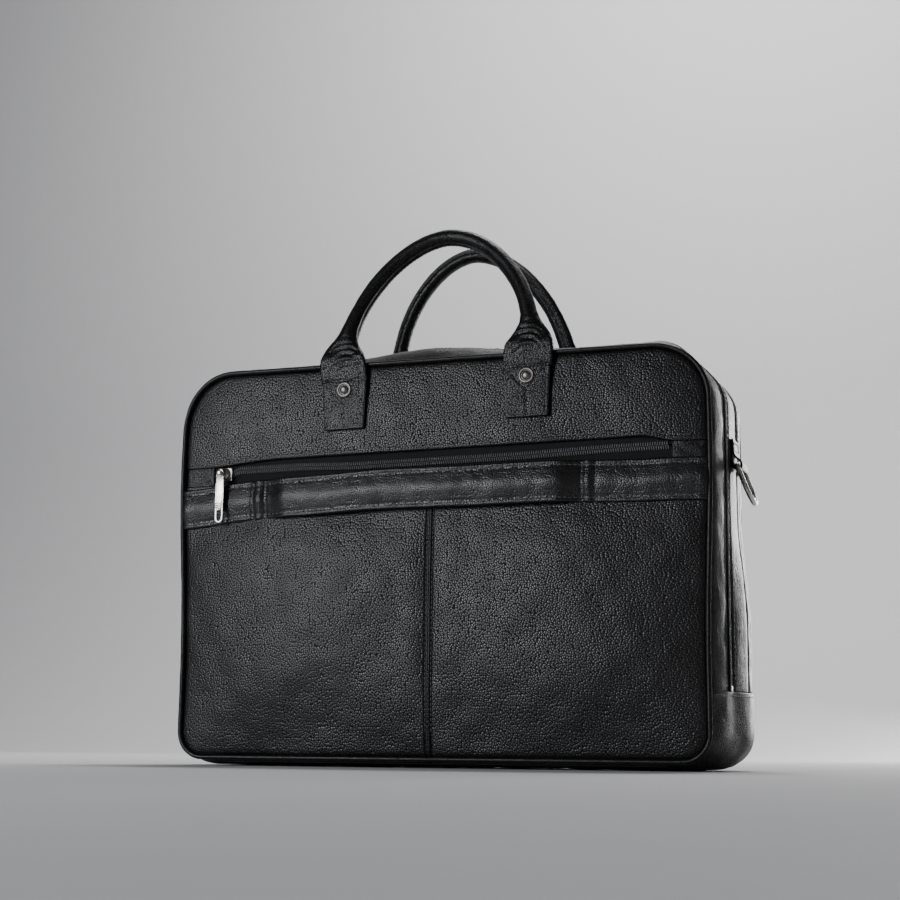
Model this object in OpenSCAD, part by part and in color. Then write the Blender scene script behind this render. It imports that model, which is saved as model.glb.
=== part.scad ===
// Leather briefcase with two zipped compartments and a trolley sleeve, in millimetres.
// +X is to the right as seen from the back panel, -Y is the back panel's side, +Z is up.
// The origin is the centre of the flat base.

/* [Case] */
// Width of the back panel, over its piping
case_w = 430; // [400:5:450]
// Height of the back panel, over its piping
case_h = 311; // [300:1:330]
// Depth of the case, over both pipings
case_d = 116; // [116:1:130]
// Radius of the upper corners
top_r = 42; // [36:1:50]
// Radius of the lower corners
bottom_r = 32; // [26:1:38]
// How far the gussets stand out past the panels at the sides
side_bulge = 7; // [4:0.5:9]
// How far the gussets stand out past the panels at the top
top_bulge = 11; // [7:0.5:12]
// Thickness of the leather with its backing
leather_t = 3; // [2.4:0.1:3.2]

/* [Openings] */
// Height at which the back cover folds open
main_fold_z = 57; // [50:1:70]
// Height at which the front cover folds open
front_fold_z = 221; // [216:1:225]
// Height of the lower edge of the back pocket's zip slot
slot_z = 224; // [224:1:230]
// Height of that slot
slot_h = 16; // [16:0.5:18]

/* [Trolley sleeve] */
// Height of the sleeve band's lower edge
band_z = 189.5; // [185:0.5:190]
// Width of the band
band_h = 32; // [28:0.5:33]
// Room behind the band
band_gap = 5; // [4.5:0.1:5.2]
// Left end of the sleeve, at its stitching
band_left = -141; // [-150:1:-135]
// Right end of the sleeve, at its stitching
band_right = 121; // [115:1:135]

/* [Handles] */
// Distance from the middle to each handle leg
leg_x = 76; // [70:1:82]
// Radius of the rolled grip
grip_r = 6.2; // [5.5:0.1:6.6]
// Length from the handles' fold to the middle of the grip at its top
handle_h = 104; // [98:1:110]
// How far both handles lean in over the case
lean = 14; // [8:1:20]

/* [Hidden] */

leather = "#1c1c1e";
lining = "#3a3a3e";
nickel = "#b9b4ac";
nylon = "#101012";

round_fn = 48;      // facets of a round part
arc_steps = 10;     // straight runs in each rounded corner
gap = 0.3;          // room between pieces that move apart
far = 2 * case_w;   // longer than anything that is cut

// Depths, from the back panel's face to the front panel's
piping_t = 2.5;
panel_y = case_d / 2 - 2;         // outer face of both panels, from the middle
panel_in_y = panel_y - leather_t;
gusset_y = panel_y - 0.8;         // edge of the gussets, under the piping
main_zip_y = -case_d / 2 + 34;
front_zip_y = main_zip_y + 40;

// Zips: each half is a coil beside a tape, and the slider's post runs between the coils
post_room = 0.8;    // from the zip's middle to each coil
coil_w = 2.6;
tape_w = 1.8;
tape_t = 1;
coil_drop = 0.6;    // how far a coil lies below the gusset's face
zip_half_w = post_room + coil_w + tape_w;
seam = 0.3;         // room between a tape and the leather beside it
stop_h = 4.2;

// Sliders
slider_l = 12;
plate_t = 1.4;
plate_w = 10;
lift = 1;           // room between a plate and the coils
pin_r = 1.2;
pin_play = 0.08;
pull_w = 7.5;
pull_t = 1.8;
slider_x = 9;       // place of the closed sliders, from the middle
zip_top = case_h + top_bulge - coil_drop;

// Back pocket
coil_y = -panel_y + 0.8;          // outer face of the pocket's coils
pocket_coil_t = 3.2;
slot_mid_z = slot_z + slot_h / 2;
slot_half_w = 190;
pocket_slider_x = -180;
pull_l = 37;                      // from the pin to the middle of the pull's round end
window_w = 3.4;                   // slot near the pull's end
window_h = 7;
band_t = 2.6;
pull_out_y = -panel_y - 0.2 - band_gap - band_t - 2.4;   // outer face of the pull
pocket_out_y = -panel_y + 4.4;    // outer sheet of the pocket bag
pocket_in_y = -panel_y + 10;      // inner sheet

// Handles
fold_h = 12;                      // handle fold above the panel's top edge
handle_z = case_h + fold_h;
handle_y = panel_y + 3;
rivet_z = case_h - 17;
tab_bottom_z = case_h - 49;
tab_t = 3;
core_r = 4;
ball_r = grip_r - 2.3;            // round ends of the legs, in the tabs' folds
foot_x = leg_x + 3;               // middle of each leg at the fold
leg_slant = 16;
arch_r = (foot_x * cos(leg_slant) - handle_h * sin(leg_slant)) / (1 - sin(leg_slant));
arch_h = handle_h - arch_r;       // centre of the arch above the fold
leg_l = (arch_h + arch_r * sin(leg_slant)) / cos(leg_slant);
joint_gap = 0.8;                  // from the end of each leg and of the arch to their joint
arch_gap = joint_gap * 180 / PI / arch_r;

// D-rings
ring_x = case_w / 2 + side_bulge + 7;
ring_y = -2;
ring_z = 224;
ring_half_w = 14;
ring_leg = 15;
wire_r = 1.9;
ring_tilt = 20;

// Points of a quarter turn about [cx, cz], anticlockwise from the angle from
function turn(cx, cz, r, from) =
    [for (i = [0:arc_steps]) [cx + r * cos(from + 90 * i / arc_steps),
                              cz + r * sin(from + 90 * i / arc_steps)]];

// A rounded outline in the X-Z plane
module rounded(half_w, z0, z1, rt, rb)
    polygon(concat(turn(half_w - rt, z1 - rt, rt, 0), turn(rt - half_w, z1 - rt, rt, 90),
                   turn(rb - half_w, z0 + rb, rb, 180), turn(half_w - rb, z0 + rb, rb, 270)));

// The case's outline, grown by g all round and by the share b of the gussets' bulge
module outline(g = 0, b = 0)
    rounded(case_w / 2 + g + b * side_bulge, max(0, -g), case_h + g + b * top_bulge,
            top_r + g + b * side_bulge, bottom_r + g + b * side_bulge);

// The panels' shape, inside the piping and above the base gusset
module panel_shape() intersection() {
    outline(-1.8);
    outline(-leather_t - 0.1, 0.8);
}

// A strip of thickness t that follows the outline
module strip(g, b, t)
    difference() {
        outline(g, b);
        outline(g - t, b);
    }

// What lies between two heights
module between(z0, z1)
    intersection() {
        children();
        translate([-far / 2, z0]) square([far, z1 - z0]);
    }

// Turns an outline in X-Z into a slab from y0 to y1
module slab(y0, y1)
    translate([0, y1, 0]) rotate([90, 0, 0]) linear_extrude(y1 - y0) children();

module box(x0, x1, y0, y1, z0, z1) translate([x0, y0, z0]) cube([x1 - x0, y1 - y0, z1 - z0]);

// A cylinder along Y from y0 to y1
module rod(x, z, r, y0, y1)
    translate([x, y1, z]) rotate([90, 0, 0]) cylinder(r = r, h = y1 - y0, $fn = round_fn);

// ---- the case, between the two zips ----

module base_gusset() color(leather)
    slab(-gusset_y, gusset_y) between(0, main_fold_z - gap) strip(0, 0.8, leather_t);

module base_board() color(lining)
    box(-178, 178, -panel_in_y + 3, panel_in_y - 3, leather_t + 0.2, leather_t + 2.2);

module mid_gusset() color(leather)
    slab(main_zip_y + zip_half_w + seam, front_zip_y - zip_half_w - seam)
        between(main_fold_z, far) strip(0, 1, leather_t);

module back_foot_panel() color(leather)
    slab(-panel_y, -panel_in_y) between(0, main_fold_z - gap) panel_shape();

module front_panel() color(leather)
    slab(panel_in_y, panel_y) between(0, front_fold_z - gap) panel_shape();

module front_side_gussets() color(leather)
    slab(front_zip_y - zip_half_w, gusset_y)
        between(main_fold_z, front_fold_z - gap) strip(0, 0.8, leather_t);

module lower_piping() color(leather) {
    slab(-case_d / 2, -case_d / 2 + piping_t) between(0, main_fold_z - gap) strip(1.5, 0, 3);
    slab(case_d / 2 - piping_t, case_d / 2) between(0, front_fold_z - gap) strip(1.5, 0, 3);
}

module divider() color(lining)
    slab(0, 4) rounded(case_w / 2 + 1, leather_t + 2.5, case_h + 6, top_r + 3, bottom_r + 1);

module laptop_sleeve() color(lining) difference() {
    box(-190, 190, -24, -0.3, 8, 250);
    box(-187, 187, -21.5, 1, 11, 251);
}

module laptop_strap() color(nylon) box(-20, 20, -2.3, -0.3, 256, 300);

module organizer_pocket() color(lining) difference() {
    box(-150, 150, 4.3, 12, 90, 215);
    box(-147, 147, 3, 10.8, 93, 216);
}

module front_lining() color(lining)
    slab(panel_in_y - 2, panel_in_y - 0.8) between(leather_t + 3, front_fold_z - gap) outline(-4);

// One half of a zip that follows the gussets from the height z0: side is -1 or 1
module zip_half(y, side, z0) {
    coil = [post_room, post_room + coil_w];
    tape = [coil[1], zip_half_w];
    slab(side > 0 ? y + coil[0] : y - coil[1], side > 0 ? y + coil[1] : y - coil[0])
        between(z0 + stop_h + 0.3, far) strip(-coil_drop, 1, coil_w);
    slab(side > 0 ? y + tape[0] : y - tape[1], side > 0 ? y + tape[1] : y - tape[0])
        between(z0, far) strip(-2, 1, tape_t);
}

module zip_stops(y, side, z0)
    for (s = [-1, 1])
        translate([s * (case_w / 2 + side_bulge - coil_drop - coil_w / 2),
                   y + side * (post_room + coil_w / 2), z0 + stop_h / 2])
            cube([coil_w, coil_w, stop_h], center = true);

module main_zip_case_half() color(nylon) zip_half(main_zip_y, 1, main_fold_z + gap);
module front_zip_case_half() color(nylon) zip_half(front_zip_y, -1, front_fold_z + gap);
module main_zip_stops() color(nickel) zip_stops(main_zip_y, 1, main_fold_z + gap);
module front_zip_stops() color(nickel) zip_stops(front_zip_y, -1, front_fold_z + gap);

// A leather loop on each side, stitched to the gusset and folded round the D-ring's bar
module dring_tabs() color(leather)
    for (s = [-1, 1]) scale_x(s) difference() {
        union() {
            box(ring_x - 6.7, ring_x - 4.3, ring_y - 11, ring_y + 11, ring_z - 10, ring_z + 21);
            rod(ring_x, ring_z, 5.2, ring_y - 11, ring_y + 11);
        }
        rod(ring_x, ring_z, wire_r + 0.8, ring_y - 12, ring_y + 12);
    }

// Mirrors its children to the left side when s is -1
module scale_x(s) if (s < 0) mirror([1, 0, 0]) children(); else children();

// ---- the back cover ----

module rivet_holes(y0, y1) for (s = [-1, 1]) rod(s * leg_x, rivet_z, 1.6, y0, y1);

module back_top_panel() color(leather) difference() {
    slab(-panel_y, -panel_in_y) between(slot_z + slot_h, far) panel_shape();
    rivet_holes(-panel_y - 1, -panel_in_y + 1);
}

module back_half_panel(s) scale_x(s)
    slab(-panel_y, -panel_in_y) intersection() {
        between(main_fold_z + gap, slot_z) panel_shape();
        translate([seam / 2, 0]) square([far, far]);
    }
module back_left_panel() color(leather) back_half_panel(-1);
module back_right_panel() color(leather) back_half_panel(1);

module pocket_end_tabs() color(leather)
    for (s = [-1, 1]) scale_x(s)
        box(slot_half_w, case_w / 2 - 1.8, -panel_y, -panel_in_y, slot_z + 0.2,
            slot_z + slot_h - 0.2);

// The pocket's zip: a coil and a tape below the slider's post, and the same above it
module pocket_zip() color(nylon)
    for (s = [-1, 1]) translate([0, 0, slot_mid_z]) mirror([0, 0, s < 0 ? 1 : 0]) {
        box(-slot_half_w + 3.2, slot_half_w - 3.2, coil_y, coil_y + pocket_coil_t,
            post_room, post_room + coil_w);
        box(-slot_half_w - 4, slot_half_w + 4, coil_y + pocket_coil_t - 0.8,
            coil_y + pocket_coil_t, post_room + coil_w, slot_h / 2 + 4);
    }

module pocket_zip_stops() color(nickel)
    for (s = [-1, 1]) scale_x(s)
        box(slot_half_w - 3, slot_half_w - 0.7, coil_y, coil_y + pocket_coil_t - 1,
            slot_mid_z - 3, slot_mid_z + 3);

// A bag of thin cloth that hangs behind the slot, open at the top
module pocket_lining() color(lining) difference() {
    box(-186, 186, pocket_out_y, pocket_in_y, main_fold_z + 9, slot_z - 2);
    box(-185, 185, pocket_out_y + 0.6, pocket_in_y - 0.6, main_fold_z + 10, slot_z);
}

// How far the band stands off the panel at x: nothing at its stitching, band_gap between
function ease(t) = t * t * (3 - 2 * t);
function stand_off(x) =
    band_gap * ease(min(1, max(0, min(x - band_left, band_right - x) / 20)));

module trolley_band() color(leather) {
    end_x = case_w / 2 - 2;
    steps = 60;
    xs = [for (i = [0:steps]) -end_x + 2 * end_x * i / steps];
    inner = [for (x = xs) [x, -panel_y - 0.2 - stand_off(x)]];
    outer = [for (i = [steps:-1:0]) [xs[i], -panel_y - 0.2 - band_t - stand_off(xs[i])]];
    translate([0, 0, band_z]) linear_extrude(band_h) polygon(concat(inner, outer));
}

module back_board() color(lining)
    slab(pocket_in_y + 0.2, pocket_in_y + 2.2) between(main_fold_z + 0.5, far) outline(-4);

module back_lining() color(lining)
    slab(pocket_in_y + 2.4, pocket_in_y + 3.2) between(main_fold_z + 0.5, far) outline(-4);

module back_gusset() color(leather)
    slab(-gusset_y, main_zip_y - zip_half_w - seam)
        between(main_fold_z + gap, far) strip(0, 0.8, leather_t);

module back_piping() color(leather)
    slab(-case_d / 2, -case_d / 2 + piping_t) between(main_fold_z + gap, far) strip(1.5, 0, 3);

module main_zip_cover_half() color(nylon) zip_half(main_zip_y, -1, main_fold_z + gap);

// The sewn end of a handle: a flat tab that narrows towards the fold
module handle_tab() polygon([[-18.5, tab_bottom_z], [18.5, tab_bottom_z], [19.5, case_h - 14],
                             [17, case_h - 4], [12, handle_z - grip_r - 0.8],
                             [-12, handle_z - grip_r - 0.8], [-17, case_h - 4],
                             [-19.5, case_h - 14]]);

// Both tabs, hollowed behind where they pass over the piping
module handle_tabs() difference() {
    slab(-panel_y - 0.2 - tab_t, -panel_y - 0.2)
        for (s = [-1, 1]) translate([s * leg_x, 0]) handle_tab();
    rivet_holes(-panel_y - 4, -panel_y + 1);
    box(-case_w / 2, case_w / 2, -case_d / 2 - 0.2, -panel_y, case_h - 2, case_h + 2);
}

// A stud with a domed head on the tab, a shank and a washer behind the panel
module rivets() for (s = [-1, 1]) {
    rod(s * leg_x, rivet_z, 5.2, -panel_y - 4.4, -panel_y - 3.2);
    rod(s * leg_x, rivet_z, 3.6, -panel_y - 5.4, -panel_y - 4.3);
    rod(s * leg_x, rivet_z, 1.5, -panel_y - 3.3, -panel_in_y + 0.3);
    rod(s * leg_x, rivet_z, 4, -panel_in_y + 0.2, -panel_in_y + 1);
}

module back_handle_tabs() color(leather) handle_tabs();
module back_rivets() color(nickel) rivets();

// ---- the front cover ----

module front_top_panel() color(leather) difference() {
    slab(panel_in_y, panel_y) between(front_fold_z + gap, far) panel_shape();
    rivet_holes(panel_in_y - 1, panel_y + 1);
}

module front_gusset() color(leather)
    slab(front_zip_y + zip_half_w + seam, gusset_y)
        between(front_fold_z + gap, far) strip(0, 0.8, leather_t);

module front_piping() color(leather)
    slab(case_d / 2 - piping_t, case_d / 2) between(front_fold_z + gap, far) strip(1.5, 0, 3);

module front_zip_cover_half() color(nylon) zip_half(front_zip_y, 1, front_fold_z + gap);

module front_flap_lining() color(lining)
    slab(panel_in_y - 2, panel_in_y - 1.2) between(front_fold_z + 0.5, far) outline(-4);

module front_handle_tabs() color(leather) mirror([0, 1, 0]) handle_tabs();
module front_rivets() color(nickel) mirror([0, 1, 0]) rivets();

// ---- the handles ----

// Two slanted legs and the arch between them, of radius r, leaning in over the case.
// side is -1 for the back handle and 1 for the front one, and the legs begin at start.
// A ball joins each leg to the arch, so that their ends stop short of each other inside it.
module grip(side, r, start)
    translate([0, side * handle_y, handle_z]) rotate([side * lean, 0, 0]) {
        for (s = [-1, 1]) scale_x(s) {
            translate([foot_x, 0, 0]) rotate([0, -leg_slant, 0])
                translate([0, 0, start])
                    cylinder(r = r, h = leg_l - start - joint_gap, $fn = round_fn);
            translate([arch_r * cos(leg_slant), 0, arch_h + arch_r * sin(leg_slant)])
                sphere(r = r + 0.3, $fn = round_fn);
        }
        translate([0, 0, arch_h]) rotate([90, 0, 0]) rotate([0, 0, leg_slant + arch_gap])
            rotate_extrude(angle = 180 - 2 * (leg_slant + arch_gap), $fn = 2 * round_fn)
                translate([arch_r, 0]) circle(r = r, $fn = round_fn);
    }

// A leather grip round its core, with round ends that turn in the tabs' folds
module handle(side) difference() {
    union() {
        grip(side, grip_r, 1);
        for (s = [-1, 1]) translate([s * foot_x, side * handle_y, handle_z])
            sphere(r = ball_r, $fn = round_fn);
    }
    grip(side, core_r + 0.1, 4);
}

module back_handle() color(leather) handle(-1);
module front_handle() color(leather) handle(1);
module back_handle_core() color(lining) grip(-1, core_r, 4);
module front_handle_core() color(lining) grip(1, core_r, 4);

// ---- the D-rings ----

// A straight bar in the tab's loop, two legs and a half-round, hanging at a slant
module dring() translate([ring_x, ring_y, ring_z]) rotate([0, -ring_tilt, 0]) {
    translate([0, ring_half_w, 0]) rotate([90, 0, 0])
        cylinder(r = wire_r, h = 2 * ring_half_w, $fn = round_fn);
    for (s = [-1, 1]) translate([0, s * ring_half_w, 0]) {
        translate([0, 0, -ring_leg]) cylinder(r = wire_r, h = ring_leg, $fn = round_fn);
        sphere(r = wire_r + 0.15, $fn = round_fn);
    }
    translate([0, 0, -ring_leg]) rotate([0, 90, 0]) rotate([0, 0, -90])
        rotate_extrude(angle = 180, $fn = 2 * round_fn)
            translate([ring_half_w, 0]) circle(r = wire_r, $fn = round_fn);
}
module left_dring() color(nickel) mirror([1, 0, 0]) dring();
module right_dring() color(nickel) dring();

// ---- the sliders and their pulls ----

// A slider on the gussets' zip at [x, y], with its lower plate on the cover's side only
module gusset_slider(x, y, cover_side) translate([x, y, zip_top]) {
    low_y = cover_side < 0 ? -plate_w / 2 : -0.5;
    box(-slider_l / 2, slider_l / 2, -plate_w / 2, plate_w / 2, lift, lift + plate_t);
    box(-slider_l / 2, slider_l / 2, low_y, low_y + plate_w / 2 + 0.5,
        -coil_w - lift - plate_t, -coil_w - lift);
    box(-2, 2, -0.5, 0.5, -coil_w - lift - 0.2, lift + 0.2);
    difference() {
        box(-2.5, 2.5, -2, 2, lift + plate_t - 0.1, lift + plate_t + 4);
        rod(0, lift + plate_t + 2.2, pin_r + pin_play, -3, 3);
    }
}

// A pull that lies along the zip, away from the middle, on a pin through the slider's bridge
module gusset_pull(s, y) scale_x(s) translate([slider_x, y, zip_top + lift + plate_t + 2.2]) {
    rod(0, 0, pin_r, -3.8, 3.8);
    for (side = [-1, 1]) translate([0, side * 3.2, 0]) {
        rod(0, 0, 2, -0.8, 0.8);
        box(0, 9, -0.8, 0.8, -0.9, 0.9);
    }
    difference() {
        union() {
            box(8, 32, -4, 4, -0.9, 0.9);
            translate([32, 0, -0.9]) cylinder(r = 4, h = 1.8, $fn = round_fn);
        }
        box(24, 31, -1.8, 1.8, -2, 2);
    }
}

module main_slider_left() color(nickel) gusset_slider(-slider_x, main_zip_y, -1);
module main_slider_right() color(nickel) gusset_slider(slider_x, main_zip_y, -1);
module main_pull_left() color(nickel) gusset_pull(-1, main_zip_y);
module main_pull_right() color(nickel) gusset_pull(1, main_zip_y);
module front_slider_left() color(nickel) gusset_slider(-slider_x, front_zip_y, 1);
module front_slider_right() color(nickel) gusset_slider(slider_x, front_zip_y, 1);
module front_pull_left() color(nickel) gusset_pull(-1, front_zip_y);
module front_pull_right() color(nickel) gusset_pull(1, front_zip_y);

// The back pocket's slider: a plate on each side of the coils, a post and a headed pin
module pocket_slider() color(nickel) translate([pocket_slider_x, 0, slot_mid_z]) {
    box(-slider_l / 2, slider_l / 2, coil_y - lift - plate_t, coil_y - lift,
        -plate_w / 2, plate_w / 2);
    box(-slider_l / 2, slider_l / 2, coil_y + pocket_coil_t + 0.2,
        coil_y + pocket_coil_t + 1.2, -plate_w / 2, plate_w / 2);
    box(-1.5, 1.5, coil_y - lift - 0.2, coil_y + pocket_coil_t + 0.3, -0.5, 0.5);
    rod(0, 0, 2.6, pull_out_y + pull_t + 0.3, coil_y - lift - plate_t + 0.2);
    rod(0, 0, pin_r, pull_out_y - 0.3, pull_out_y + pull_t + 0.5);
    rod(0, 0, 2.2, pull_out_y - 0.9, pull_out_y - 0.2);
}

// Its pull: an eye on the pin and a flat grip that hangs, with a window near its round end
module pocket_pull() color(nickel) translate([pocket_slider_x, 0, slot_mid_z]) difference() {
    union() {
        rod(0, 0, 3.4, pull_out_y, pull_out_y + pull_t);
        box(-pull_w / 2, pull_w / 2, pull_out_y, pull_out_y + pull_t, -pull_l, 0);
        rod(0, -pull_l, pull_w / 2, pull_out_y, pull_out_y + pull_t);
    }
    rod(0, 0, pin_r + pin_play, pull_out_y - 1, pull_out_y + pull_t + 1);
    box(-window_w / 2, window_w / 2, pull_out_y - 1, pull_out_y + pull_t + 1,
        -pull_l - 0.5, -pull_l - 0.5 + window_h);
}

base_gusset();
base_board();
mid_gusset();
back_foot_panel();
front_panel();
front_side_gussets();
lower_piping();
divider();
laptop_sleeve();
laptop_strap();
organizer_pocket();
front_lining();
main_zip_case_half();
front_zip_case_half();
main_zip_stops();
front_zip_stops();
dring_tabs();
back_top_panel();
back_left_panel();
back_right_panel();
pocket_end_tabs();
pocket_zip();
pocket_zip_stops();
pocket_lining();
trolley_band();
back_board();
back_lining();
back_gusset();
back_piping();
main_zip_cover_half();
back_handle_tabs();
back_rivets();
front_top_panel();
front_gusset();
front_piping();
front_zip_cover_half();
front_flap_lining();
front_handle_tabs();
front_rivets();
back_handle();
back_handle_core();
front_handle();
front_handle_core();
left_dring();
right_dring();
main_slider_left();
main_slider_right();
main_pull_left();
main_pull_right();
front_slider_left();
front_slider_right();
front_pull_left();
front_pull_right();
pocket_slider();
pocket_pull();
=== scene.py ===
"""Leather briefcase with two zipped compartments and a trolley sleeve, built around its CAD frame.

Shapes are worked out in millimetres in the CAD frame, and piece() turns them into metres.
+X is to the right as seen from the back panel, -Y is the back panel's side, +Z is up.
"""

import math

import bpy
import numpy as np
from mathutils import Matrix, Vector


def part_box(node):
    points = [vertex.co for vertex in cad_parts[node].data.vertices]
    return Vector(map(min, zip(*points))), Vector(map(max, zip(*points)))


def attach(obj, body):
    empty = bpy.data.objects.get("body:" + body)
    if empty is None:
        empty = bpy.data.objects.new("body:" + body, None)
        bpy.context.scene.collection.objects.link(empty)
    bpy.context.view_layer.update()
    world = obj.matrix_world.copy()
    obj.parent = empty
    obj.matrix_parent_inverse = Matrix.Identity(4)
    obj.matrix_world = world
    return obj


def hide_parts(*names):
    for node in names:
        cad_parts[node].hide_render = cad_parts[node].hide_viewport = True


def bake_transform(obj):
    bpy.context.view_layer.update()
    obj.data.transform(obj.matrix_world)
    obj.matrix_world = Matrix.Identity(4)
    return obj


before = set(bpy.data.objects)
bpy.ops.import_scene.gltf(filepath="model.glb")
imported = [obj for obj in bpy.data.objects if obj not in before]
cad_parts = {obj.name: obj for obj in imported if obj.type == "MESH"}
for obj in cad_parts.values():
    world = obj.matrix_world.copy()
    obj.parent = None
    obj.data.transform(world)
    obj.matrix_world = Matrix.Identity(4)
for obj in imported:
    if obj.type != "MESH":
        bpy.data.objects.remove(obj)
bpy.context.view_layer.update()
MM = 0.001


def cad(node):
    """The lowest and highest corners of a CAD node, in millimetres."""
    low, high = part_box(node)
    return np.array(low) / MM, np.array(high) / MM


# ---------------------------------------------------------------- the case's sizes

HALF_W = cad("back_piping")[1][0]                  # outside of the panels' piping
TOP_Z = cad("back_top_panel")[1][2] + 1.8
BOTTOM_Z = 6.0             # the panels' lower edge: the base gusset curves down to the floor
R_TOP, R_BOTTOM = 42.0, 21.0
PANEL_Y = -cad("back_top_panel")[0][1]             # outer face of both panels
PANEL_T, GUSSET_T = 1.8, 2.0
FOLD_BACK_Z = cad("back_foot_panel")[1][2] + 0.3
FOLD_FRONT_Z = cad("front_panel")[1][2] + 0.3
MAIN_ZIP_Y = cad("main_pull_left")[0][1] + 4.0
FRONT_ZIP_Y = cad("front_pull_left")[0][1] + 4.0
GUSSET_BACK = (-PANEL_Y + 0.9, MAIN_ZIP_Y - 5.6)   # from and to which y each gusset runs
GUSSET_MID = (MAIN_ZIP_Y + 5.6, FRONT_ZIP_Y - 5.6)
GUSSET_FRONT = (FRONT_ZIP_Y + 5.6, PANEL_Y - 0.9)
BULGE_SIDE, BULGE_TOP, BULGE_BOTTOM = 7.0, 11.2, 5.0   # how far the gussets' middle stands out
FULL_LOW = 6.0             # how much further the sides stand out low down
CORNER_DIP = 0.8           # share of the bulge that is lost half way round the top corners
CROWN_RISE, CROWN_X, CROWN_W, CROWN_Y, CROWN_D = 8.0, -6.0, 62.0, -43.0, 10.0
TAPER = 3.2                # how far both panels' sides draw in towards the base
BOW_LEFT, BOW_RIGHT = 3.4, 1.2     # how far the sides bow out at the D-rings' height
BOW_Z, BOW_SPAN = 235.0, 85.0
EDGE_ROWS = (0, 0.25, 0.7, 1.4, 2.4, 4.0)          # distances from a panel's edge of its rows

SLOT_LOW, SLOT_HIGH = 224.0, 240.0
SLOT_Z = (SLOT_LOW + SLOT_HIGH) / 2
SLOT_HALF = 189.0
BAND_LOW, BAND_HIGH = cad("trolley_band")[0][2], cad("trolley_band")[1][2]
BAND_LEFT, BAND_RIGHT, BAND_RAMP = -141.0, 121.0, 20.0
BAND_GAP, BAND_ARCH, BAND_T = 5.0, 6.2, 2.6
CROSS_STITCHES = (-152.0, -141.5, 121.5, 131.5)    # the band's upright rows of stitches

TAB_X = 76.0               # middle of each handle tab and rivet
FOOT_X = 78.5              # middle of each handle leg at the fold
GRIP_R = 6.2
GRIP_LENGTH = {-1: 101.5, 1: 106.5}                # the back handle and the front one
GRIP_POWER = 1.8           # the handle's arch is a superellipse: 2 would be an ellipse
LEAN = {-1: math.radians(14.5), 1: math.radians(12.5)}
HANDLE_SHIFT = {-1: 3.0, 1: 1.0}                   # how far each is sewn on right of the middle
HANDLE_Y, HANDLE_FOLD_Z = 59.0, 323.0
RIVET_Z, TAB_LOW_Z, TAB_SEAM_Z = 294.0, 262.0, 301.5
RING_Y, RING_Z, RING_X, RING_WIRE = -2.0, 224.0, 229.0, 1.9

STITCH_PITCH, STITCH_LENGTH, STITCH_R = 3.8, 2.8, 0.42
TOOTH_PITCH, TOOTH_R = 1.8, 0.58
TOOTH_REACH = (0.3, 3.3)   # from a zip's middle to a tooth's near and far ends
TAPE_REACH = (0.75, 6.4)   # from a zip's middle to a tape's near and far edges

X, Y, Z = np.eye(3)
BACK_BLEND = ("case", "back_cover", 52.0, 86.0)    # two bodies and two heights; piece() attaches a piece given these to neither body
FRONT_BLEND = ("case", "front_cover", 205.0, 240.0)


# ---------------------------------------------------------------- shapes, in millimetres

def stack(*parts):
    """Points from their coordinates, which are arrays or single numbers that fit together."""
    return np.stack(np.broadcast_arrays(*(np.asarray(p, float) for p in parts)), -1)


def unit(vectors):
    """The same directions, one long."""
    return vectors / np.linalg.norm(vectors, axis=-1, keepdims=True)


def smooth(t):
    """0 below 0, 1 above 1, and an even slope between."""
    t = np.clip(t, 0, 1)
    return t * t * (3 - 2 * t)


def hill(t, width=1.0):
    """1 where t is 0, falling off over about that width on both sides."""
    return np.exp(-(t / width) ** 2)


def fold_in(distance, radius=1.1):
    """How far a folded edge turns in at this distance from it."""
    t = np.clip(distance / radius, 0, 1)
    return radius * (1 - np.sqrt(1 - (1 - t) ** 2))


def lengths(path):
    """How far along a path each of its points is."""
    return np.concatenate([[0], np.cumsum(np.linalg.norm(np.diff(path, axis=0), axis=1))])


def at_lengths(values, run, at):
    """The rows of values, which are known at the lengths run, at other lengths."""
    return np.stack([np.interp(at, run, column) for column in values.T], -1)


def spread(a, b, step, edge=(0,)):
    """Values from a to b about step apart, with closer ones at these distances from both ends."""
    edge = np.asarray(edge, float)
    span = b - a - edge[-1] - edge[-1]
    middle = np.linspace(a + edge[-1], b - edge[-1], max(2, int(round(span / step)) + 1))
    return np.concatenate([a + edge[:-1], middle, b - edge[:-1][::-1]])


def ripples(points, length, seed, count=8):
    """Smooth unevenness of about that wavelength, mostly between -1 and 1, the same every run."""
    rng = np.random.default_rng(seed)
    total = np.zeros(points.shape[:-1])
    for _ in range(count):
        way = rng.normal(size=3)
        way *= 2 * np.pi / length * rng.uniform(0.7, 1.4) / np.linalg.norm(way)
        total += np.sin(points @ way + rng.uniform(0, 2 * np.pi))
    return total / math.sqrt(count) / 1.4


def solid(verts, groups):
    """A closed shape whose faces look outward. Each group is an array of faces alike in corners."""
    verts = np.asarray(verts, float)
    volume = 0.0
    for f in groups:
        for k in range(1, f.shape[1] - 1):
            a, b, c = verts[f[:, 0]], verts[f[:, k]], verts[f[:, k + 1]]
            volume += np.einsum("ij,ij->", a, np.cross(b, c))
    return verts, [f[:, ::-1] for f in groups] if volume < 0 else groups


def sweep(loops, closed=False, strip=False):
    """A solid through loops[along, around]. Its ends are capped, in quads where it is a flat strip."""
    n, m = loops.shape[:2]
    i, j = np.meshgrid(np.arange(n if closed else n - 1), np.arange(m), indexing="ij")
    i2, j2 = (i + 1) % n, (j + 1) % m
    groups = [np.stack([i * m + j, i2 * m + j, i2 * m + j2, i * m + j2], -1).reshape(-1, 4)]
    if not closed:
        k = np.arange(m // 2 - 1)
        cap = np.stack([k, k + 1, m - 2 - k, m - 1 - k], -1) if strip else np.arange(m)[None]
        groups += [cap, cap[:, ::-1] + (n - 1) * m]
    return solid(loops.reshape(-1, 3), groups)


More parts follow.
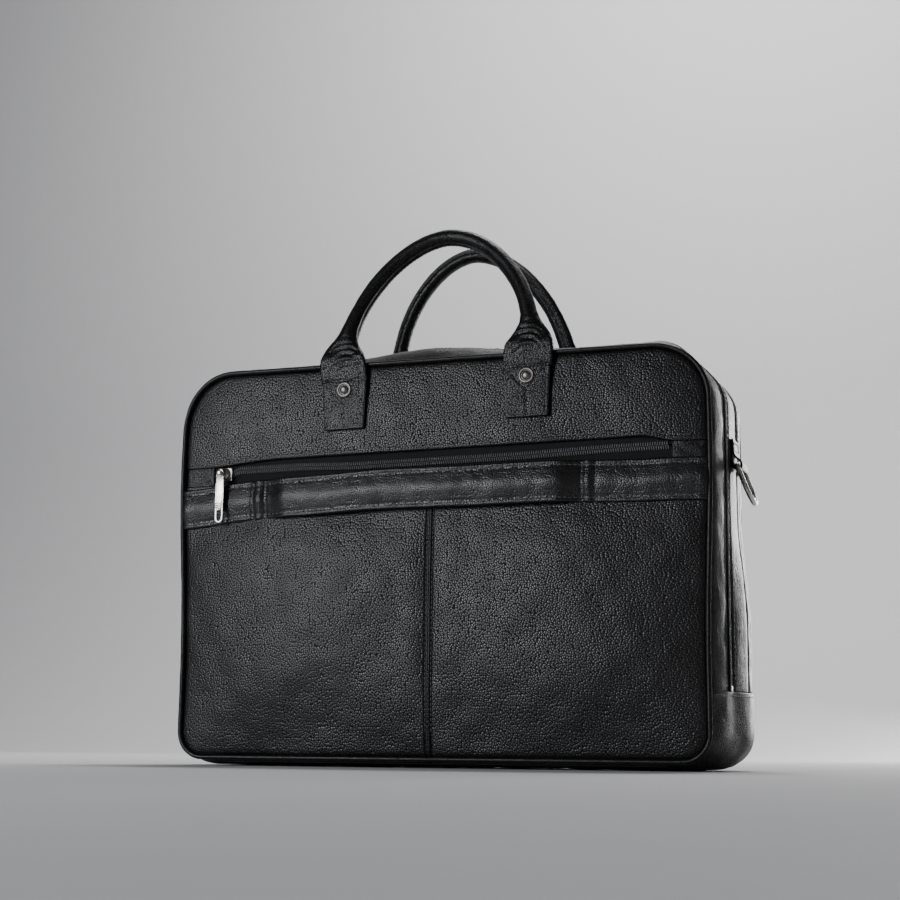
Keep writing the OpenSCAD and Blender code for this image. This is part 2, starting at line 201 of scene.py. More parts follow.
def shell(outer, inner):
    """A sheet with thickness between two grids of points."""
    return sweep(np.concatenate([outer, inner[:, ::-1]], axis=1), strip=True)


def ring(around, x, y, flat=1.0):
    """Directions round a circle that lies along x and y. flat squeezes it along y."""
    a = np.arange(around) * 2 * np.pi / around
    return np.cos(a)[:, None] * x[..., None, :] + flat * np.sin(a)[:, None] * y[..., None, :]


def tube(path, radius, around=10, closed=False, flat=1.0):
    """A round tube along a path. radius is one number, or one for each point."""
    ahead = np.roll(path, -1, 0) - np.roll(path, 1, 0) if closed else np.gradient(path, axis=0)
    tangent = unit(ahead)
    side = unit(np.cross(tangent, (0.02, 1, 0.01)))
    radius = np.broadcast_to(radius, len(path))
    rings = ring(around, side, np.cross(side, tangent), flat)
    return sweep(path[:, None] + rings * radius[:, None, None], closed)


def lathe(profile, centre, axis, around=32):
    """A solid turned about axis through centre. profile is (radius, height) pairs from end to end."""
    radius, height = np.asarray(profile, float).T[..., None, None]
    axis = np.asarray(axis, float)
    side = unit(np.cross(axis, (0.31, 0.12, 0.94)))
    return sweep(centre + radius * ring(around, side, np.cross(axis, side)) + height * axis)


def box(centre, size, x=X, y=Y, z=Z):
    """A box of that size along three directions."""
    signs = np.array([(a, b, c) for a in (-1, 1) for b in (-1, 1) for c in (-1, 1)]) / 2
    corners = centre + signs @ (np.stack([x, y, z]) * np.asarray(size)[:, None])
    return solid(corners, [np.array([(0, 1, 3, 2), (4, 6, 7, 5), (0, 4, 5, 1), (2, 3, 7, 6),
                                     (0, 2, 6, 4), (1, 5, 7, 3)])])


def placed(base, origins, xs, ys, zs):
    """Copies of a small solid, one in each given frame."""
    verts, groups = base
    n, m = len(origins), len(verts)
    out = origins[:, None] + sum(verts[None, :, k, None] * axis[:, None]
                                 for k, axis in enumerate((xs, ys, zs)))
    return out.reshape(-1, 3), [(np.arange(n)[:, None, None] * m + g[None]).reshape(-1, g.shape[1])
                                for g in groups]


# a rounded bar one long in X and of radius 1 in Y and Z, to be scaled by its frame
CAPSULE = sweep(np.array([[x, 0, 0] + r * ring(6, Y, Z) for x, r in (
    (-0.5, 0.02), (-0.47, 0.55), (-0.38, 0.9), (0.0, 1.0), (0.38, 0.9), (0.47, 0.55), (0.5, 0.02))]))


def stitches(path, out, pitch=STITCH_PITCH, length=STITCH_LENGTH, radius=STITCH_R, sink=0.05):
    """A row of sewn stitches along a path. out points away from the leather."""
    run = lengths(path)
    count = max(1, int(run[-1] / pitch))
    at = (np.arange(count) + 0.5) * run[-1] / count
    start, end = at_lengths(path, run, at - length / 2), at_lengths(path, run, at + length / 2)
    normal = unit(at_lengths(np.broadcast_to(out, path.shape), run, at))
    x = end - start
    y = unit(np.cross(normal, x))
    z = unit(np.cross(x, y))
    return placed(CAPSULE, (start + end) / 2 - normal * sink, x, y * radius, z * radius)


def straight(points, step=1.0):
    """Points about step apart along straight lines through the given ones."""
    points = np.asarray(points, float)
    run = lengths(points)
    return at_lengths(points, run, np.arange(0, run[-1], step))


def curve(points, count):
    """A smooth curve through points, in count steps."""
    points = np.asarray(points, float)
    run = lengths(points)
    line = at_lengths(points, run, np.linspace(0, run[-1], count))
    for _ in range(6):
        line[1:-1] = (line[:-2] + line[1:-1] * 2 + line[2:]) / 4
    return line


# ---------------------------------------------------------------- the case's outline and walls

def outline_table(step=0.5):
    """Points and outward normals along the panels' edge, anticlockwise from the bottom's middle."""
    def arc(cx, cz, r, start):
        a = start + np.linspace(0, np.pi / 2, 160)
        return stack(cx + r * np.cos(a), cz + r * np.sin(a), np.cos(a), np.sin(a))

    def line(x0, z0, x1, z1, nx, nz):
        t = np.linspace(0, 1, max(2, int(math.hypot(x1 - x0, z1 - z0) / step)))
        return stack(x0 + (x1 - x0) * t, z0 + (z1 - z0) * t, nx, nz)
    hb, ht = HALF_W - R_BOTTOM, HALF_W - R_TOP
    low, high = BOTTOM_Z + R_BOTTOM, TOP_Z - R_TOP
    rows = np.vstack([
        line(0, BOTTOM_Z, hb, BOTTOM_Z, 0, -1), arc(hb, low, R_BOTTOM, -np.pi / 2),
        line(HALF_W, low, HALF_W, high, 1, 0), arc(ht, high, R_TOP, 0),
        line(ht, TOP_Z, -ht, TOP_Z, 0, 1), arc(-ht, high, R_TOP, np.pi / 2),
        line(-HALF_W, high, -HALF_W, low, -1, 0), arc(-hb, low, R_BOTTOM, np.pi),
        line(-hb, BOTTOM_Z, 0, BOTTOM_Z, 0, -1)])
    rows = rows[np.diff(lengths(rows[:, :2]), prepend=-1) > 1e-6]
    return lengths(rows[:, :2]), rows


RUN, ROWS = outline_table()
LOOP = RUN[-1]


def edge(s):
    """x, z and the outward normal at lengths s along the panels' edge."""
    x, z, nx, nz = (np.interp(np.mod(s, LOOP), RUN, ROWS[:, k]) for k in range(4))
    n = np.hypot(nx, nz)
    return x, z, nx / n, nz / n


def at_height(z):
    """The length along the edge where its right side reaches height z. The left side is LOOP less."""
    return HALF_W - R_BOTTOM + R_BOTTOM * np.pi / 2 + (z - BOTTOM_Z - R_BOTTOM)


def inset(x, z):
    """How far a point of the panels is inside their outline."""
    middle = (TOP_Z + BOTTOM_Z) / 2
    r = np.where(z > middle, R_TOP, R_BOTTOM)
    qx = np.abs(x) - HALF_W + r
    qz = np.abs(z - middle) - (TOP_Z - BOTTOM_Z) / 2 + r
    return -(np.minimum(np.maximum(qx, qz), 0) + np.hypot(np.maximum(qx, 0), np.maximum(qz, 0)) - r)


def half_width(z, back=1.2):
    """Half the panels' width at height z, less back."""
    r, into = R_BOTTOM, BOTTOM_Z + R_BOTTOM - z
    if z > BOW_Z - BOW_SPAN:
        r, into = R_TOP, z - (TOP_Z - R_TOP)
    return HALF_W - r + math.sqrt((r - back) ** 2 - np.clip(into, 0, r - back) ** 2)


def bow(x, z, y):
    """How far the side at x, z leans out past the straight outline."""
    edge_share = np.clip(np.abs(y) / PANEL_Y, 0, 1) ** 2
    amount = np.where(x < 0, BOW_LEFT, BOW_RIGHT) * smooth((np.abs(x) - 120) / 95)
    out = amount * hill(z - BOW_Z, BOW_SPAN) * (0.25 + 0.75 * edge_share)
    draw = TAPER * smooth((235 - z) / 160) * np.clip(np.abs(x) / HALF_W, 0, 1) * edge_share
    return np.sign(x) * (out - draw)


def bowed(x, y, z):
    """Points of the panels, moved by the sides' bow."""
    return stack(x + bow(x, z, y), y, z)


def rise(x, z, y):
    """How far the back panel's top edge slopes up towards its left end."""
    return np.clip(3.1 - 0.0165 * x, 0, 6.2) * smooth((z - 250) / 55) * smooth((-y - 26) / 26)


def wall(s, y, depth=0.0):
    """A point of the gussets' outer face at length s and depth y, sunk by depth."""
    s, y, depth = np.broadcast_arrays(*(np.asarray(v, float) for v in (s, y, depth)))
    x, z, nx, nz = edge(s)
    up, low = np.clip(nz, 0, 1), smooth((195 - z) / 90)
    full = FULL_LOW * low * smooth((y + 26) / 40)
    reach = (BULGE_SIDE + full) * nx ** 2 + BULGE_TOP * up ** 2 + BULGE_BOTTOM * np.clip(-nz, 0, 1) ** 2
    reach = reach * (1 - CORNER_DIP * (2 * nx * up) ** 2)
    power = 2.6 + 2.0 * low * (y > 0)
    reach = reach * (1 - np.clip(np.abs(y) / PANEL_Y, 0, 1) ** power)
    crown = CROWN_RISE * hill(x - CROWN_X, CROWN_W) * hill(y - CROWN_Y, CROWN_D)
    reach = reach + np.where(nz > 0.9, crown, 0) - depth
    return stack(x + nx * reach + bow(x, z, y), y, z + nz * reach + rise(x, z, y))


def wall_out(s, y):
    """The outward direction of the gussets at s and y."""
    n = unit(np.cross(wall(s, y + 0.5) - wall(s, y - 0.5), wall(s + 0.5, y) - wall(s - 0.5, y)))
    _, _, nx, nz = edge(s)
    return n * np.sign(n[..., 0] * nx + n[..., 2] * nz)[..., None]


def panel_face(x, z):
    """How far a panel stands out at x, z: rolled in at its piping, and soft in the middle."""
    d = inset(x, z)
    roll = 2.6 * (1 - np.clip(d / 6, 0, 1)) ** 2
    near_band = hill(z - (BAND_LOW + SLOT_HIGH) / 2, 42)
    swell = 3.0 * (1 - np.exp(-np.clip(d, 0, None) / 26)) * (1 - 0.75 * near_band)
    points = stack(x, 0, z)
    pucker = 0.16 * np.sin(2 * np.pi * (x + z) / 9.5 + 1.5 * ripples(points, 40, 5)) * np.exp(-d / 7)
    return swell - roll + 0.75 * ripples(points, 75, 3) + 0.2 * ripples(points, 22, 4) + pucker


def panel(xs_of, zs, side, lift):
    """A panel of leather. xs_of gives the x values at each height, and lift what is added to its face."""
    x = np.stack([xs_of(z) for z in zs])
    z = zs[:, None] + 0 * x
    outer = bowed(x, side * (PANEL_Y + panel_face(x, z) + lift(x, z)), z)
    return shell(outer, outer - (0, side * PANEL_T, 0))


def lip(x):
    """Height of the yoke's lower edge: it dips towards both ends of the slot."""
    return SLOT_HIGH + 2 - np.where(x > 0, 5.3 * smooth((x - 165) / 28), 4 * smooth((-x - 130) / 65))


def zip_height(x):
    """Height of the pocket zip's middle: it rises a little away from the closed end's slider."""
    near = smooth((178 + x) / 12)
    return SLOT_Z + 1.3 * near + np.where(
        x > 0, 1.4 * smooth((x - 60) / 90), 1.8 * smooth((-x - 60) / 60) * near)


# ---------------------------------------------------------------- materials

class Look:
    """A material being made: its nodes, its shader's inputs and the object's own coordinates."""

    def __init__(self, name):
        self.material = bpy.data.materials.new(name)
        self.material.use_nodes = True
        self.nodes, self.links = self.material.node_tree.nodes, self.material.node_tree.links
        self.shader = self.nodes["Principled BSDF"].inputs
        self.coords = self.node("TexCoord").outputs["Object"]

    def put(self, socket, value):
        """Links another node's output to a socket, or sets the socket's own value."""
        if isinstance(value, bpy.types.NodeSocket):
            self.links.new(value, socket)
        else:
            socket.default_value = value

    def node(self, kind, *values, **named):
        """A new shader node, with its first inputs in order, and inputs and settings by name."""
        made = self.nodes.new("ShaderNode" + kind)
        for key, value in named.items():
            if key in made.inputs:
                self.put(made.inputs[key], value)
            else:
                setattr(made, key, value)
        for socket, value in zip(made.inputs, values):
            self.put(socket, value)
        return made

    def noise(self, size, detail=2, output="Fac"):
        """Noise with features of about that many millimetres."""
        return self.node("TexNoise", self.coords, Scale=1 / (size * MM), Detail=detail).outputs[output]

    def ramp(self, value, low, high, to_low=0.0, to_high=1.0):
        """value, brought smoothly from the range low to high into the range to_low to to_high."""
        return self.node("MapRange", value, low, high, to_low, to_high,
                         interpolation_type="SMOOTHSTEP").outputs["Result"]

    def maths(self, kind, *values):
        return self.node("Math", *values, operation=kind).outputs[0]

    def mix(self, share, a, b):
        """A colour between a and b."""
        made = self.node("Mix", share, data_type="RGBA")
        made.inputs[6].default_value, made.inputs[7].default_value = (*a, 1), (*b, 1)
        return made.outputs[2]

    def bump(self, height, strength, depth):
        """Relief of that many millimetres."""
        made = self.node("Bump", Strength=strength, Distance=depth * MM, Height=height)
        self.links.new(made.outputs["Normal"], self.shader["Normal"])

    def finish(self, colour, rough, **others):
        """Sets the shader's colour, roughness and other inputs, and gives the material."""
        for key, value in {"Base Color": colour, "Roughness": rough, **others}.items():
            self.put(self.shader[key], value)
        return self.material


def leather(name, cell, depth, rough=0.36, shine=0.55, flat=False):
    """Grained leather: rounded pebbles of about that many millimetres, sunk creases between them, and
    painted shade in the creases (a darker colour and a weaker specular there).

    flat is for pieces that face the front or the back: their pebbles are laid out in that plane."""
    look = Look(name)
    warp = look.noise(cell * 2.2, 3, "Color")
    bend = look.node("VectorMath", warp, (cell * MM * 0.4,) * 3, look.coords, operation="MULTIPLY_ADD")
    place = look.node("Mapping", bend.outputs[0], Rotation=(-math.pi / 2 if flat else 0, 0, 0))
    pebble, crease = (look.node("TexVoronoi", voronoi_dimensions="2D" if flat else "3D", feature=kind,
                                Scale=1 / (cell * MM), Vector=place.outputs[0]).outputs["Distance"]
                      for kind in ("F1", "DISTANCE_TO_EDGE"))
    # cells is 0 in the creases and 1 on the pebbles: it drives the bump, the roughness, and the painted
    # crease shade in colour and specular
    cells = look.ramp(crease, 0.0, 0.2)
    fine, wide, slow = look.noise(cell * 0.3), look.noise(16), look.noise(60)
    height = look.maths("SUBTRACT", look.maths("MULTIPLY", cells, 0.1),
                        look.maths("MULTIPLY", pebble, pebble))
    for unevenness, share in ((fine, 0.06), (wide, 1.2)):
        height = look.maths("ADD", height, look.maths("MULTIPLY", unevenness, share))
    look.bump(height, 1.0, depth)
    # painted shade: the colour falls to almost black in the creases where cells is near 0; the slow noise
    # adds a random tone on the pebbles
    tone = look.maths("MULTIPLY", cells, look.ramp(slow, 0.3, 0.7, 0.6, 1.0))
    wear = look.maths("ADD", look.ramp(wide, 0.3, 0.7, -0.04, 0.04),
                      look.ramp(cells, 0.0, 1.0, rough + 0.12, rough))
    # painted shade: Specular IOR Level drops to 0.08 in the creases, as if shaded there
    return look.finish(look.mix(tone, (0.0008, 0.0008, 0.0009), (0.009, 0.0088, 0.0096)), wear,
                       **{"Specular IOR Level": look.ramp(cells, 0.0, 1.0, 0.08, shine)})


def metal(name, colour=(0.60, 0.575, 0.54), rough=0.2):
    """Plated nickel with faint polishing marks and finger dulling."""
    look = Look(name)
    dull = look.noise(5, 4)
    look.bump(look.noise(0.25), 0.25, 0.02)
    return look.finish(look.mix(dull, tuple(c * 0.86 for c in colour), colour),
                       look.ramp(dull, 0.35, 0.7, rough, rough + 0.14), Metallic=1.0)


def cloth(name, thread, colour, rough=0.8, depth=0.12, sheen=0.2):
    """Woven cloth: two crossed sets of threads of about that many millimetres."""
    look = Look(name)
    threads = []
    for turn in (math.pi / 4, -math.pi / 4):
        mapped = look.node("Mapping", look.coords, Rotation=(0.6, 0.0, turn))
        threads.append(look.node("TexWave", mapped.outputs[0], Scale=1 / (thread * MM) / 2,
                                 Distortion=0.4).outputs["Fac"])
    weave = look.maths("MAXIMUM", *threads)
    fuzz = look.noise(0.6, 3)
    look.bump(look.maths("ADD", weave, fuzz), 0.7, depth)
    tone = look.maths("MULTIPLY", weave, look.ramp(fuzz, 0.2, 0.8))
    return look.finish(look.mix(tone, tuple(c * 0.55 for c in colour), colour),
                       look.ramp(fuzz, 0.2, 0.8, rough - 0.08, rough + 0.08),
                       **{"Sheen Weight": sheen, "Sheen Roughness": 0.4})


def plastic(name, colour, rough):
    """Nylon or waxed thread with a fine twist."""
    look = Look(name)
    twist = look.noise(0.35)
    look.bump(twist, 0.4, 0.05)
    return look.finish(look.mix(twist, tuple(c * 0.7 for c in colour), colour),
                       look.ramp(twist, 0.3, 0.7, rough - 0.06, rough + 0.08))


PEBBLED = leather("pebbled_leather", 1.7, 0.27, 0.31, 0.5, flat=True)
GUSSET = leather("pebbled_gusset", 1.5, 0.27, 0.31)
GLOVE = leather("gusset_leather", 1.2, 0.16, 0.32, 0.45)
GRIP = leather("handle_leather", 1.4, 0.2, 0.31, 0.5)
PIPING = leather("piping_leather", 1.0, 0.08)
BAND = leather("band_leather", 1.5, 0.2, 0.29, 0.7, flat=True)
NICKEL = metal("brushed_nickel")
OLD_NICKEL = metal("antique_nickel", (0.22, 0.21, 0.20), 0.28)
TAPE = cloth("zip_tape", 0.55, (0.005, 0.005, 0.0055), 0.85, 0.10, 0.02)
LINING = cloth("twill_lining", 0.7, (0.055, 0.055, 0.06), 0.75)
BOARD = cloth("lining_board", 0.9, (0.03, 0.03, 0.033), 0.85)
TEETH = plastic("coil_nylon", (0.13, 0.13, 0.135), 0.22)
THREAD = plastic("waxed_thread", (0.11, 0.11, 0.115), 0.3)


# ---------------------------------------------------------------- pieces

def piece(name, parts, material, body, replaces=(), bevel=0.0, segments=2):
    """Makes one object from solids. body is the one it rides on; given a tuple of two bodies and two
    heights, the object rides on neither.
    """
    verts, faces, start = [], [], 0
    for v, groups in parts if isinstance(parts, list) else [parts]:
        verts.append(v)
        for g in groups:
            faces += (g + start).tolist()
        start += len(v)
    mesh = bpy.data.meshes.new(name)
    mesh.from_pydata((np.concatenate(verts) * MM).tolist(), [], faces)
    mesh.materials.append(material)
    obj = bpy.data.objects.new(name, mesh)
    bpy.context.scene.collection.objects.link(obj)
    if bevel:
        edges = obj.modifiers.new("edges", "BEVEL")
        edges.width, edges.segments, edges.limit_method = bevel * MM, segments, "ANGLE"
        edges.angle_limit = math.radians(40)
        bpy.context.view_layer.update()
        shown = obj.evaluated_get(bpy.context.evaluated_depsgraph_get())
        mesh = bpy.data.meshes.new_from_object(shown)
        obj.modifiers.clear()
        obj.data = mesh
    mesh.polygons.foreach_set("use_smooth", [True] * len(mesh.polygons))
    if isinstance(body, tuple):
        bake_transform(obj)
    else:
        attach(obj, body)
    if replaces:
        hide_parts(*replaces)
    return obj


def sew(name, rows, body):
    """One piece from rows of stitches."""
    return piece(name, rows, THREAD, body)


def build_back_panel():
    """The yoke above the pocket, the two halves below it, and their seams."""
    top = TOP_Z - 1.2
    share = spread(0, 1, 0.03, np.array(EDGE_ROWS) / 70)[:, None]
    x = np.stack([spread(-1, 1, 0.0135) * half_width(min(SLOT_HIGH + t * (top - SLOT_HIGH), top))
                  for t in share[:, 0]])
    low = lip(x)
    z = low + share * (top - low)
    y = (-PANEL_Y - panel_face(x, z) + fold_in(z - low) - 0.45 * hill(z - low - 2, 3)
         + 0.28 * hill(z - low - 4.6, 0.9))
    outer = bowed(x, y, z) + stack(0, 0, rise(x, z, y))
    piece("back_yoke", shell(outer, outer + (0, PANEL_T, 0)), PEBBLED, "back_cover",
          ["back_top_panel"])
    x = np.linspace(-SLOT_HALF - 14, SLOT_HALF + 14, 400)
    z = lip(x) + 4.6
    sew("yoke_stitches", stitches(bowed(x, -(PANEL_Y + panel_face(x, z) + 0.2), z), -Y), "back_cover")

    near_seam = np.array([0, 0.2, 0.6, 1.1, 1.5, 1.8, 2.1, 2.4, 2.7, 3.1, 3.6, 4.4, 5.8, 8]) / 200
    share = np.concatenate([near_seam, np.linspace(0.055, 1, 80)])
    heights = spread(BOTTOM_Z + 1.2, SLOT_LOW, 2.6, EDGE_ROWS)

    def lift(x, z):
        seam = np.abs(x)
        ridge = 0.7 * smooth((2.6 - seam) / 0.8)
        groove = -0.9 * hill(seam - 2.4, 0.75)
        pillow = (4.0 * np.sin(np.pi * np.clip(seam / HALF_W, 0, 1)) * smooth((z - 15) / 70)
                  * smooth((SLOT_LOW - 6 - z) / 60))
        pull = 0.9 * np.exp(-(seam - 14) ** 2 / 120) * smooth((z - 30) / 60) * smooth((190 - z) / 50)
        top = -fold_in(SLOT_LOW - z) + 0.4 * hill(SLOT_LOW - z - 2, 3)
        return pillow + ridge + groove + pull - fold_in(seam, 0.25) + top
    rows = []
    for s, name, replaced in ((-1, "left", []), (1, "right", ["back_foot_panel"])):
        half = panel(lambda z: s * (0.05 + share * (half_width(z) - 0.05)), heights, -1, lift)
        piece(f"back_{name}_half", half, PEBBLED, BACK_BLEND,
              [f"back_{name}_panel"] + replaced)
        x, z = s * 2.4, np.linspace(26, SLOT_LOW - 3, 300)
        rows.append(stitches(stack(x, -(PANEL_Y + panel_face(x, z) + lift(x, z) + 0.25), z), -Y))
        x, z = s * np.linspace(4, SLOT_HALF + 14, 250), SLOT_LOW - 4.2
        rows.append(stitches(bowed(x, -(PANEL_Y + panel_face(x, z) + 0.2), z), -Y))
    sew("back_seam_stitches", rows, BACK_BLEND)


def build_end_tabs():
    """Short leather pieces that close the slot's two ends, with an upright row of stitches."""
    tabs, rows = [], []
    for s in (-1, 1):
        x = s * spread(SLOT_HALF - 1, HALF_W - 2.5, 2.0, EDGE_ROWS[:5])
        z, x = np.meshgrid(spread(SLOT_LOW - 2, SLOT_HIGH + 1, 2.0, EDGE_ROWS[:4]), x, indexing="ij")
        y = PANEL_Y + panel_face(x, z) - 0.9 - fold_in(np.abs(x) - SLOT_HALF + 1)
        outer = bowed(x, -(y + 0.25 * ripples(stack(x, y, z), 9, 21)), z)
        tabs.append(shell(outer, outer + (0, 1.6, 0)))
        x, z = s * (SLOT_HALF + 2.6), np.linspace(SLOT_LOW, SLOT_HIGH - 2, 40)
        rows.append(stitches(bowed(x, -(PANEL_Y + panel_face(x, z) - 0.75), z), -Y))
    piece("slot_end_tabs", tabs, GLOVE, "back_cover", ["pocket_end_tabs"])
    sew("slot_end_stitches", rows, "back_cover")


def build_front_panel():
    """A plain panel with a flap seam at the front fold."""
    def lift(x, z):
        seam = np.abs(z - FOLD_FRONT_Z)
        return -0.5 * hill(seam, 1.2) + 0.35 * hill(seam - 4, 3)
    share = np.linspace(-1, 1, 140)
    heights = np.concatenate([spread(BOTTOM_Z + 1.2, FOLD_FRONT_Z - 8, 2.8, EDGE_ROWS)[:-5],
                              np.linspace(FOLD_FRONT_Z - 7, FOLD_FRONT_Z + 7, 24),
                              spread(FOLD_FRONT_Z + 8, TOP_Z - 1.2, 2.8, EDGE_ROWS)[5:]])
    piece("front_panel_leather", panel(lambda z: share * half_width(z), heights, 1, lift), PEBBLED,
          FRONT_BLEND, ["front_panel", "front_top_panel"])
    x = np.linspace(-HALF_W + 8, HALF_W - 8, 400)
    rows = [stitches(bowed(x, PANEL_Y + panel_face(x, z) + lift(x, z) + 0.2, z), Y)
            for z in (FOLD_FRONT_Z - 3.6, FOLD_FRONT_Z + 3.6)]
    sew("front_seam_stitches", rows, FRONT_BLEND)


# ---------------------------------------------------------------- gussets and piping

def strip_profile(y0, y1, thick, step=2.2):
    """A closed profile (y, depth) of a strip with folded edges, a little full between them."""
    r = thick / 2
    t = np.linspace(0, 1, max(6, int((y1 - y0 - thick) / step)))
    across = y0 + r + (y1 - y0 - thick) * t
    sag = 0.7 * np.abs(2 * t - 1) ** 5
    turn = np.linspace(np.pi / 2, -np.pi / 2, 6)[1:-1]
    right = stack(y1 - r + r * np.cos(turn), 0.7 + r - r * np.sin(turn))
    left = stack(y0 + r - r * np.cos(turn), 0.7 + r + r * np.sin(turn))
    return np.concatenate([stack(across, sag), right, stack(across, sag + thick)[::-1], left])


def strip(s0, s1, y0, y1, thick=GUSSET_T, step=3.0, seed=1, rough=0.25, sink=0.0, ends=True):
    """A band of leather along the gussets, from length s0 to s1 and from y0 to y1."""
    s = spread(s0, s1, step, (0, 0.3, 0.9, 2.0) if ends else (0,))[:, None]
    y, depth = strip_profile(y0, y1, thick).T
    face = wall(s, y)
    hump = rough * ripples(face, 34, seed) + 0.4 * rough * ripples(face, 11, seed + 50)
    tuck = fold_in(np.minimum(s - s0, s1 - s), 0.9) if ends else 0
    return sweep(wall(s, y, depth + sink - hump + tuck))


def edge_stitches(s0, s1, y):
    s = np.arange(s0, s1, 1.5)
    return stitches(wall(s, y, 0.2), wall_out(s, y))


def build_gussets():
    """The three gussets over the top, the feet below the front zip, and the base gusset."""
    back, front = at_height(FOLD_BACK_Z), at_height(FOLD_FRONT_Z)
    piece("back_gusset_leather",
          strip(back - 6, LOOP - back + 6, *GUSSET_BACK, seed=2, rough=0.35, ends=False), GLOVE,
          BACK_BLEND, ["back_gusset"])
    sew("back_gusset_stitches", edge_stitches(back, LOOP - back, GUSSET_BACK[1] - 2.6), BACK_BLEND)
    piece("mid_gusset_leather", strip(back, LOOP - back, *GUSSET_MID, seed=3), GUSSET,
          "case", ["mid_gusset"])
    sew("mid_gusset_stitches", [edge_stitches(back, LOOP - back, GUSSET_MID[0] + 2.6),
                                edge_stitches(front, LOOP - front, GUSSET_MID[1] - 2.6)], "case")
    middle = at_height(TOP_Z - R_TOP) + R_TOP * np.pi / 2 + HALF_W - R_TOP
    y = np.linspace(GUSSET_BACK[0] + 3, GUSSET_BACK[1] - 2, 24)
    slant = [stitches(wall(middle - at - 0.25 * (y + PANEL_Y), y, -0.1), Z, 5.2, 4.6, 0.5)
             for at in (0.0, 3.6, 7.2)]
    sew("crown_stitches", slant, "back_cover")
    piece("front_gusset_leather",
          strip(back, LOOP - back, *GUSSET_FRONT, seed=4, rough=0.5, ends=False), GLOVE,
          FRONT_BLEND, ["front_gusset", "front_side_gussets"])
    sew("front_gusset_stitches", edge_stitches(front, LOOP - front, GUSSET_FRONT[0] + 2.6),
        FRONT_BLEND)
    for name, s0, s1 in (("right", back, front + 2), ("left", LOOP - front - 2, LOOP - back)):
        foot = strip(s0, s1, FRONT_ZIP_Y - 5.2, GUSSET_FRONT[0] + 1.0, thick=1.6, seed=9, sink=0.3)
        piece(f"{name}_zip_foot", foot, GLOVE, "case")
    base = strip(-back, back, -PANEL_Y + 0.9, PANEL_Y - 0.9, thick=2.4, seed=6, rough=0.45, sink=-0.3)
    piece("base_gusset_leather", base, GLOVE, "case", ["base_gusset"])
    y = np.linspace(-PANEL_Y + 3, PANEL_Y - 3, 90)
    sew("base_gusset_stitches", [stitches(wall(s, y, -0.5), wall_out(s, y))
                                 for s in (back - 3.2, LOOP - back + 3.2)], "case")


def build_piping():
    """The cord round the edge of each panel."""
    x, z, nx, nz = edge(np.arange(0, LOOP, 2.2))
    for name, side, blend, replaced in (("back", -1, BACK_BLEND, ["back_piping"]),
                                        ("front", 1, FRONT_BLEND, ["front_piping", "lower_piping"])):
        y = side * (PANEL_Y + 0.7)
        path = stack(x - nx * 0.6 + bow(x, z, y), y, z - nz * 0.6 + rise(x, z, y))
        radius = 2.0 + 0.10 * ripples(path, 14, 31) + 0.05 * ripples(path, 5, 32)
        piece(f"{name}_piping_cord", tube(path, radius, 12, closed=True), PIPING, blend,
              replaced)


# ---------------------------------------------------------------- trolley band

def band_lift(x):
    """How far the band's outer face stands from the panel's plane, and how far it arches up."""
    open_part = smooth(np.minimum(x - BAND_LEFT, BAND_RIGHT - x) / BAND_RAMP)
    rolled = 2.4 * (1 - np.clip((HALF_W - np.abs(x)) / 7, 0, 1)) ** 2
    pinch = sum(hill(x - at) for at in CROSS_STITCHES)
    ridge = sum(hill(x - (a + b) / 2, 2.6) for a, b in (CROSS_STITCHES[:2], CROSS_STITCHES[2:]))
    stand = 3.5 * (1 - open_part) + (BAND_GAP + 2.9) * open_part - rolled - 1.1 * pinch + 0.9 * ridge
    return stand, BAND_ARCH * (1 - (x / 260) ** 2) - 3.3 * smooth((-x - 150) / 60)


def build_band():
    """The sleeve band for a trolley's handle, sewn down at its ends and open behind its middle."""
    high, seam_at = BAND_HIGH - BAND_LOW, 4.2
    xs = spread(-HALF_W + 1.5, HALF_W - 1.5, 1.8)
    t = spread(0, high, 1.3, (0, 0.15, 0.5, 1.0))
    in_edge = np.minimum(t, high - t)
    face = (-fold_in(in_edge, 1.2) + 0.35 * hill(in_edge - 2.0, 1.2)
            - 0.6 * hill(in_edge - seam_at, 0.9) + 2.0 * smooth((in_edge - 3) / 13))
    stand, arch = (v[:, None] for v in band_lift(xs))
    points = stack(xs[:, None], -62.0, BAND_LOW + t)
    soft = 0.4 * ripples(points, 55, 41) + 0.16 * ripples(points, 14, 42)
    x, _, z = np.moveaxis(points, -1, 0)
    y = -(PANEL_Y + stand + face + soft)
    z = z + arch + 0.7 * ripples(points[:, :1], 90, 43)
    outer = bowed(x, y, z)
    thick = np.maximum(np.where(in_edge < 1, 0.4, 1.0) * BAND_T + face, 0.5)
    piece("trolley_band_leather", shell(outer, outer + stack(0, thick, 0)), BAND,
          "back_cover", ["trolley_band"])
    rows = [stitches(outer[4:-4, np.argmin(np.abs(t - at))], -Y) for at in (seam_at, high - seam_at)]
    rows += [stitches(outer[np.argmin(np.abs(xs - at)), 4:-4], -Y) for at in CROSS_STITCHES]
    sew("trolley_band_stitches", rows, "back_cover")


# ---------------------------------------------------------------- zips

def teeth(middle, along, across, out, side, phase):
    """Slanted coil turns. middle, along and out give the zip's middle line; side picks the half."""
    run = lengths(middle)
    at = np.arange(phase * TOOTH_PITCH + 1, run[-1] - 1, TOOTH_PITCH)
    centre, a, c, n = (at_lengths(np.broadcast_to(v, middle.shape), run, at)
                       for v in (middle, along, across, out))
    near, far = TOOTH_REACH
    x = unit(c * side + a * 0.22)
    y = np.cross(n, x)
    bar = placed(CAPSULE, centre + c * side * (near + far) / 2, x * (far - near), y * TOOTH_R,
                 n * TOOTH_R)
    head = placed(CAPSULE, centre + c * side * (near + 0.45), x * 1.3, y * 0.8, n * 0.9)
    return [bar, head]


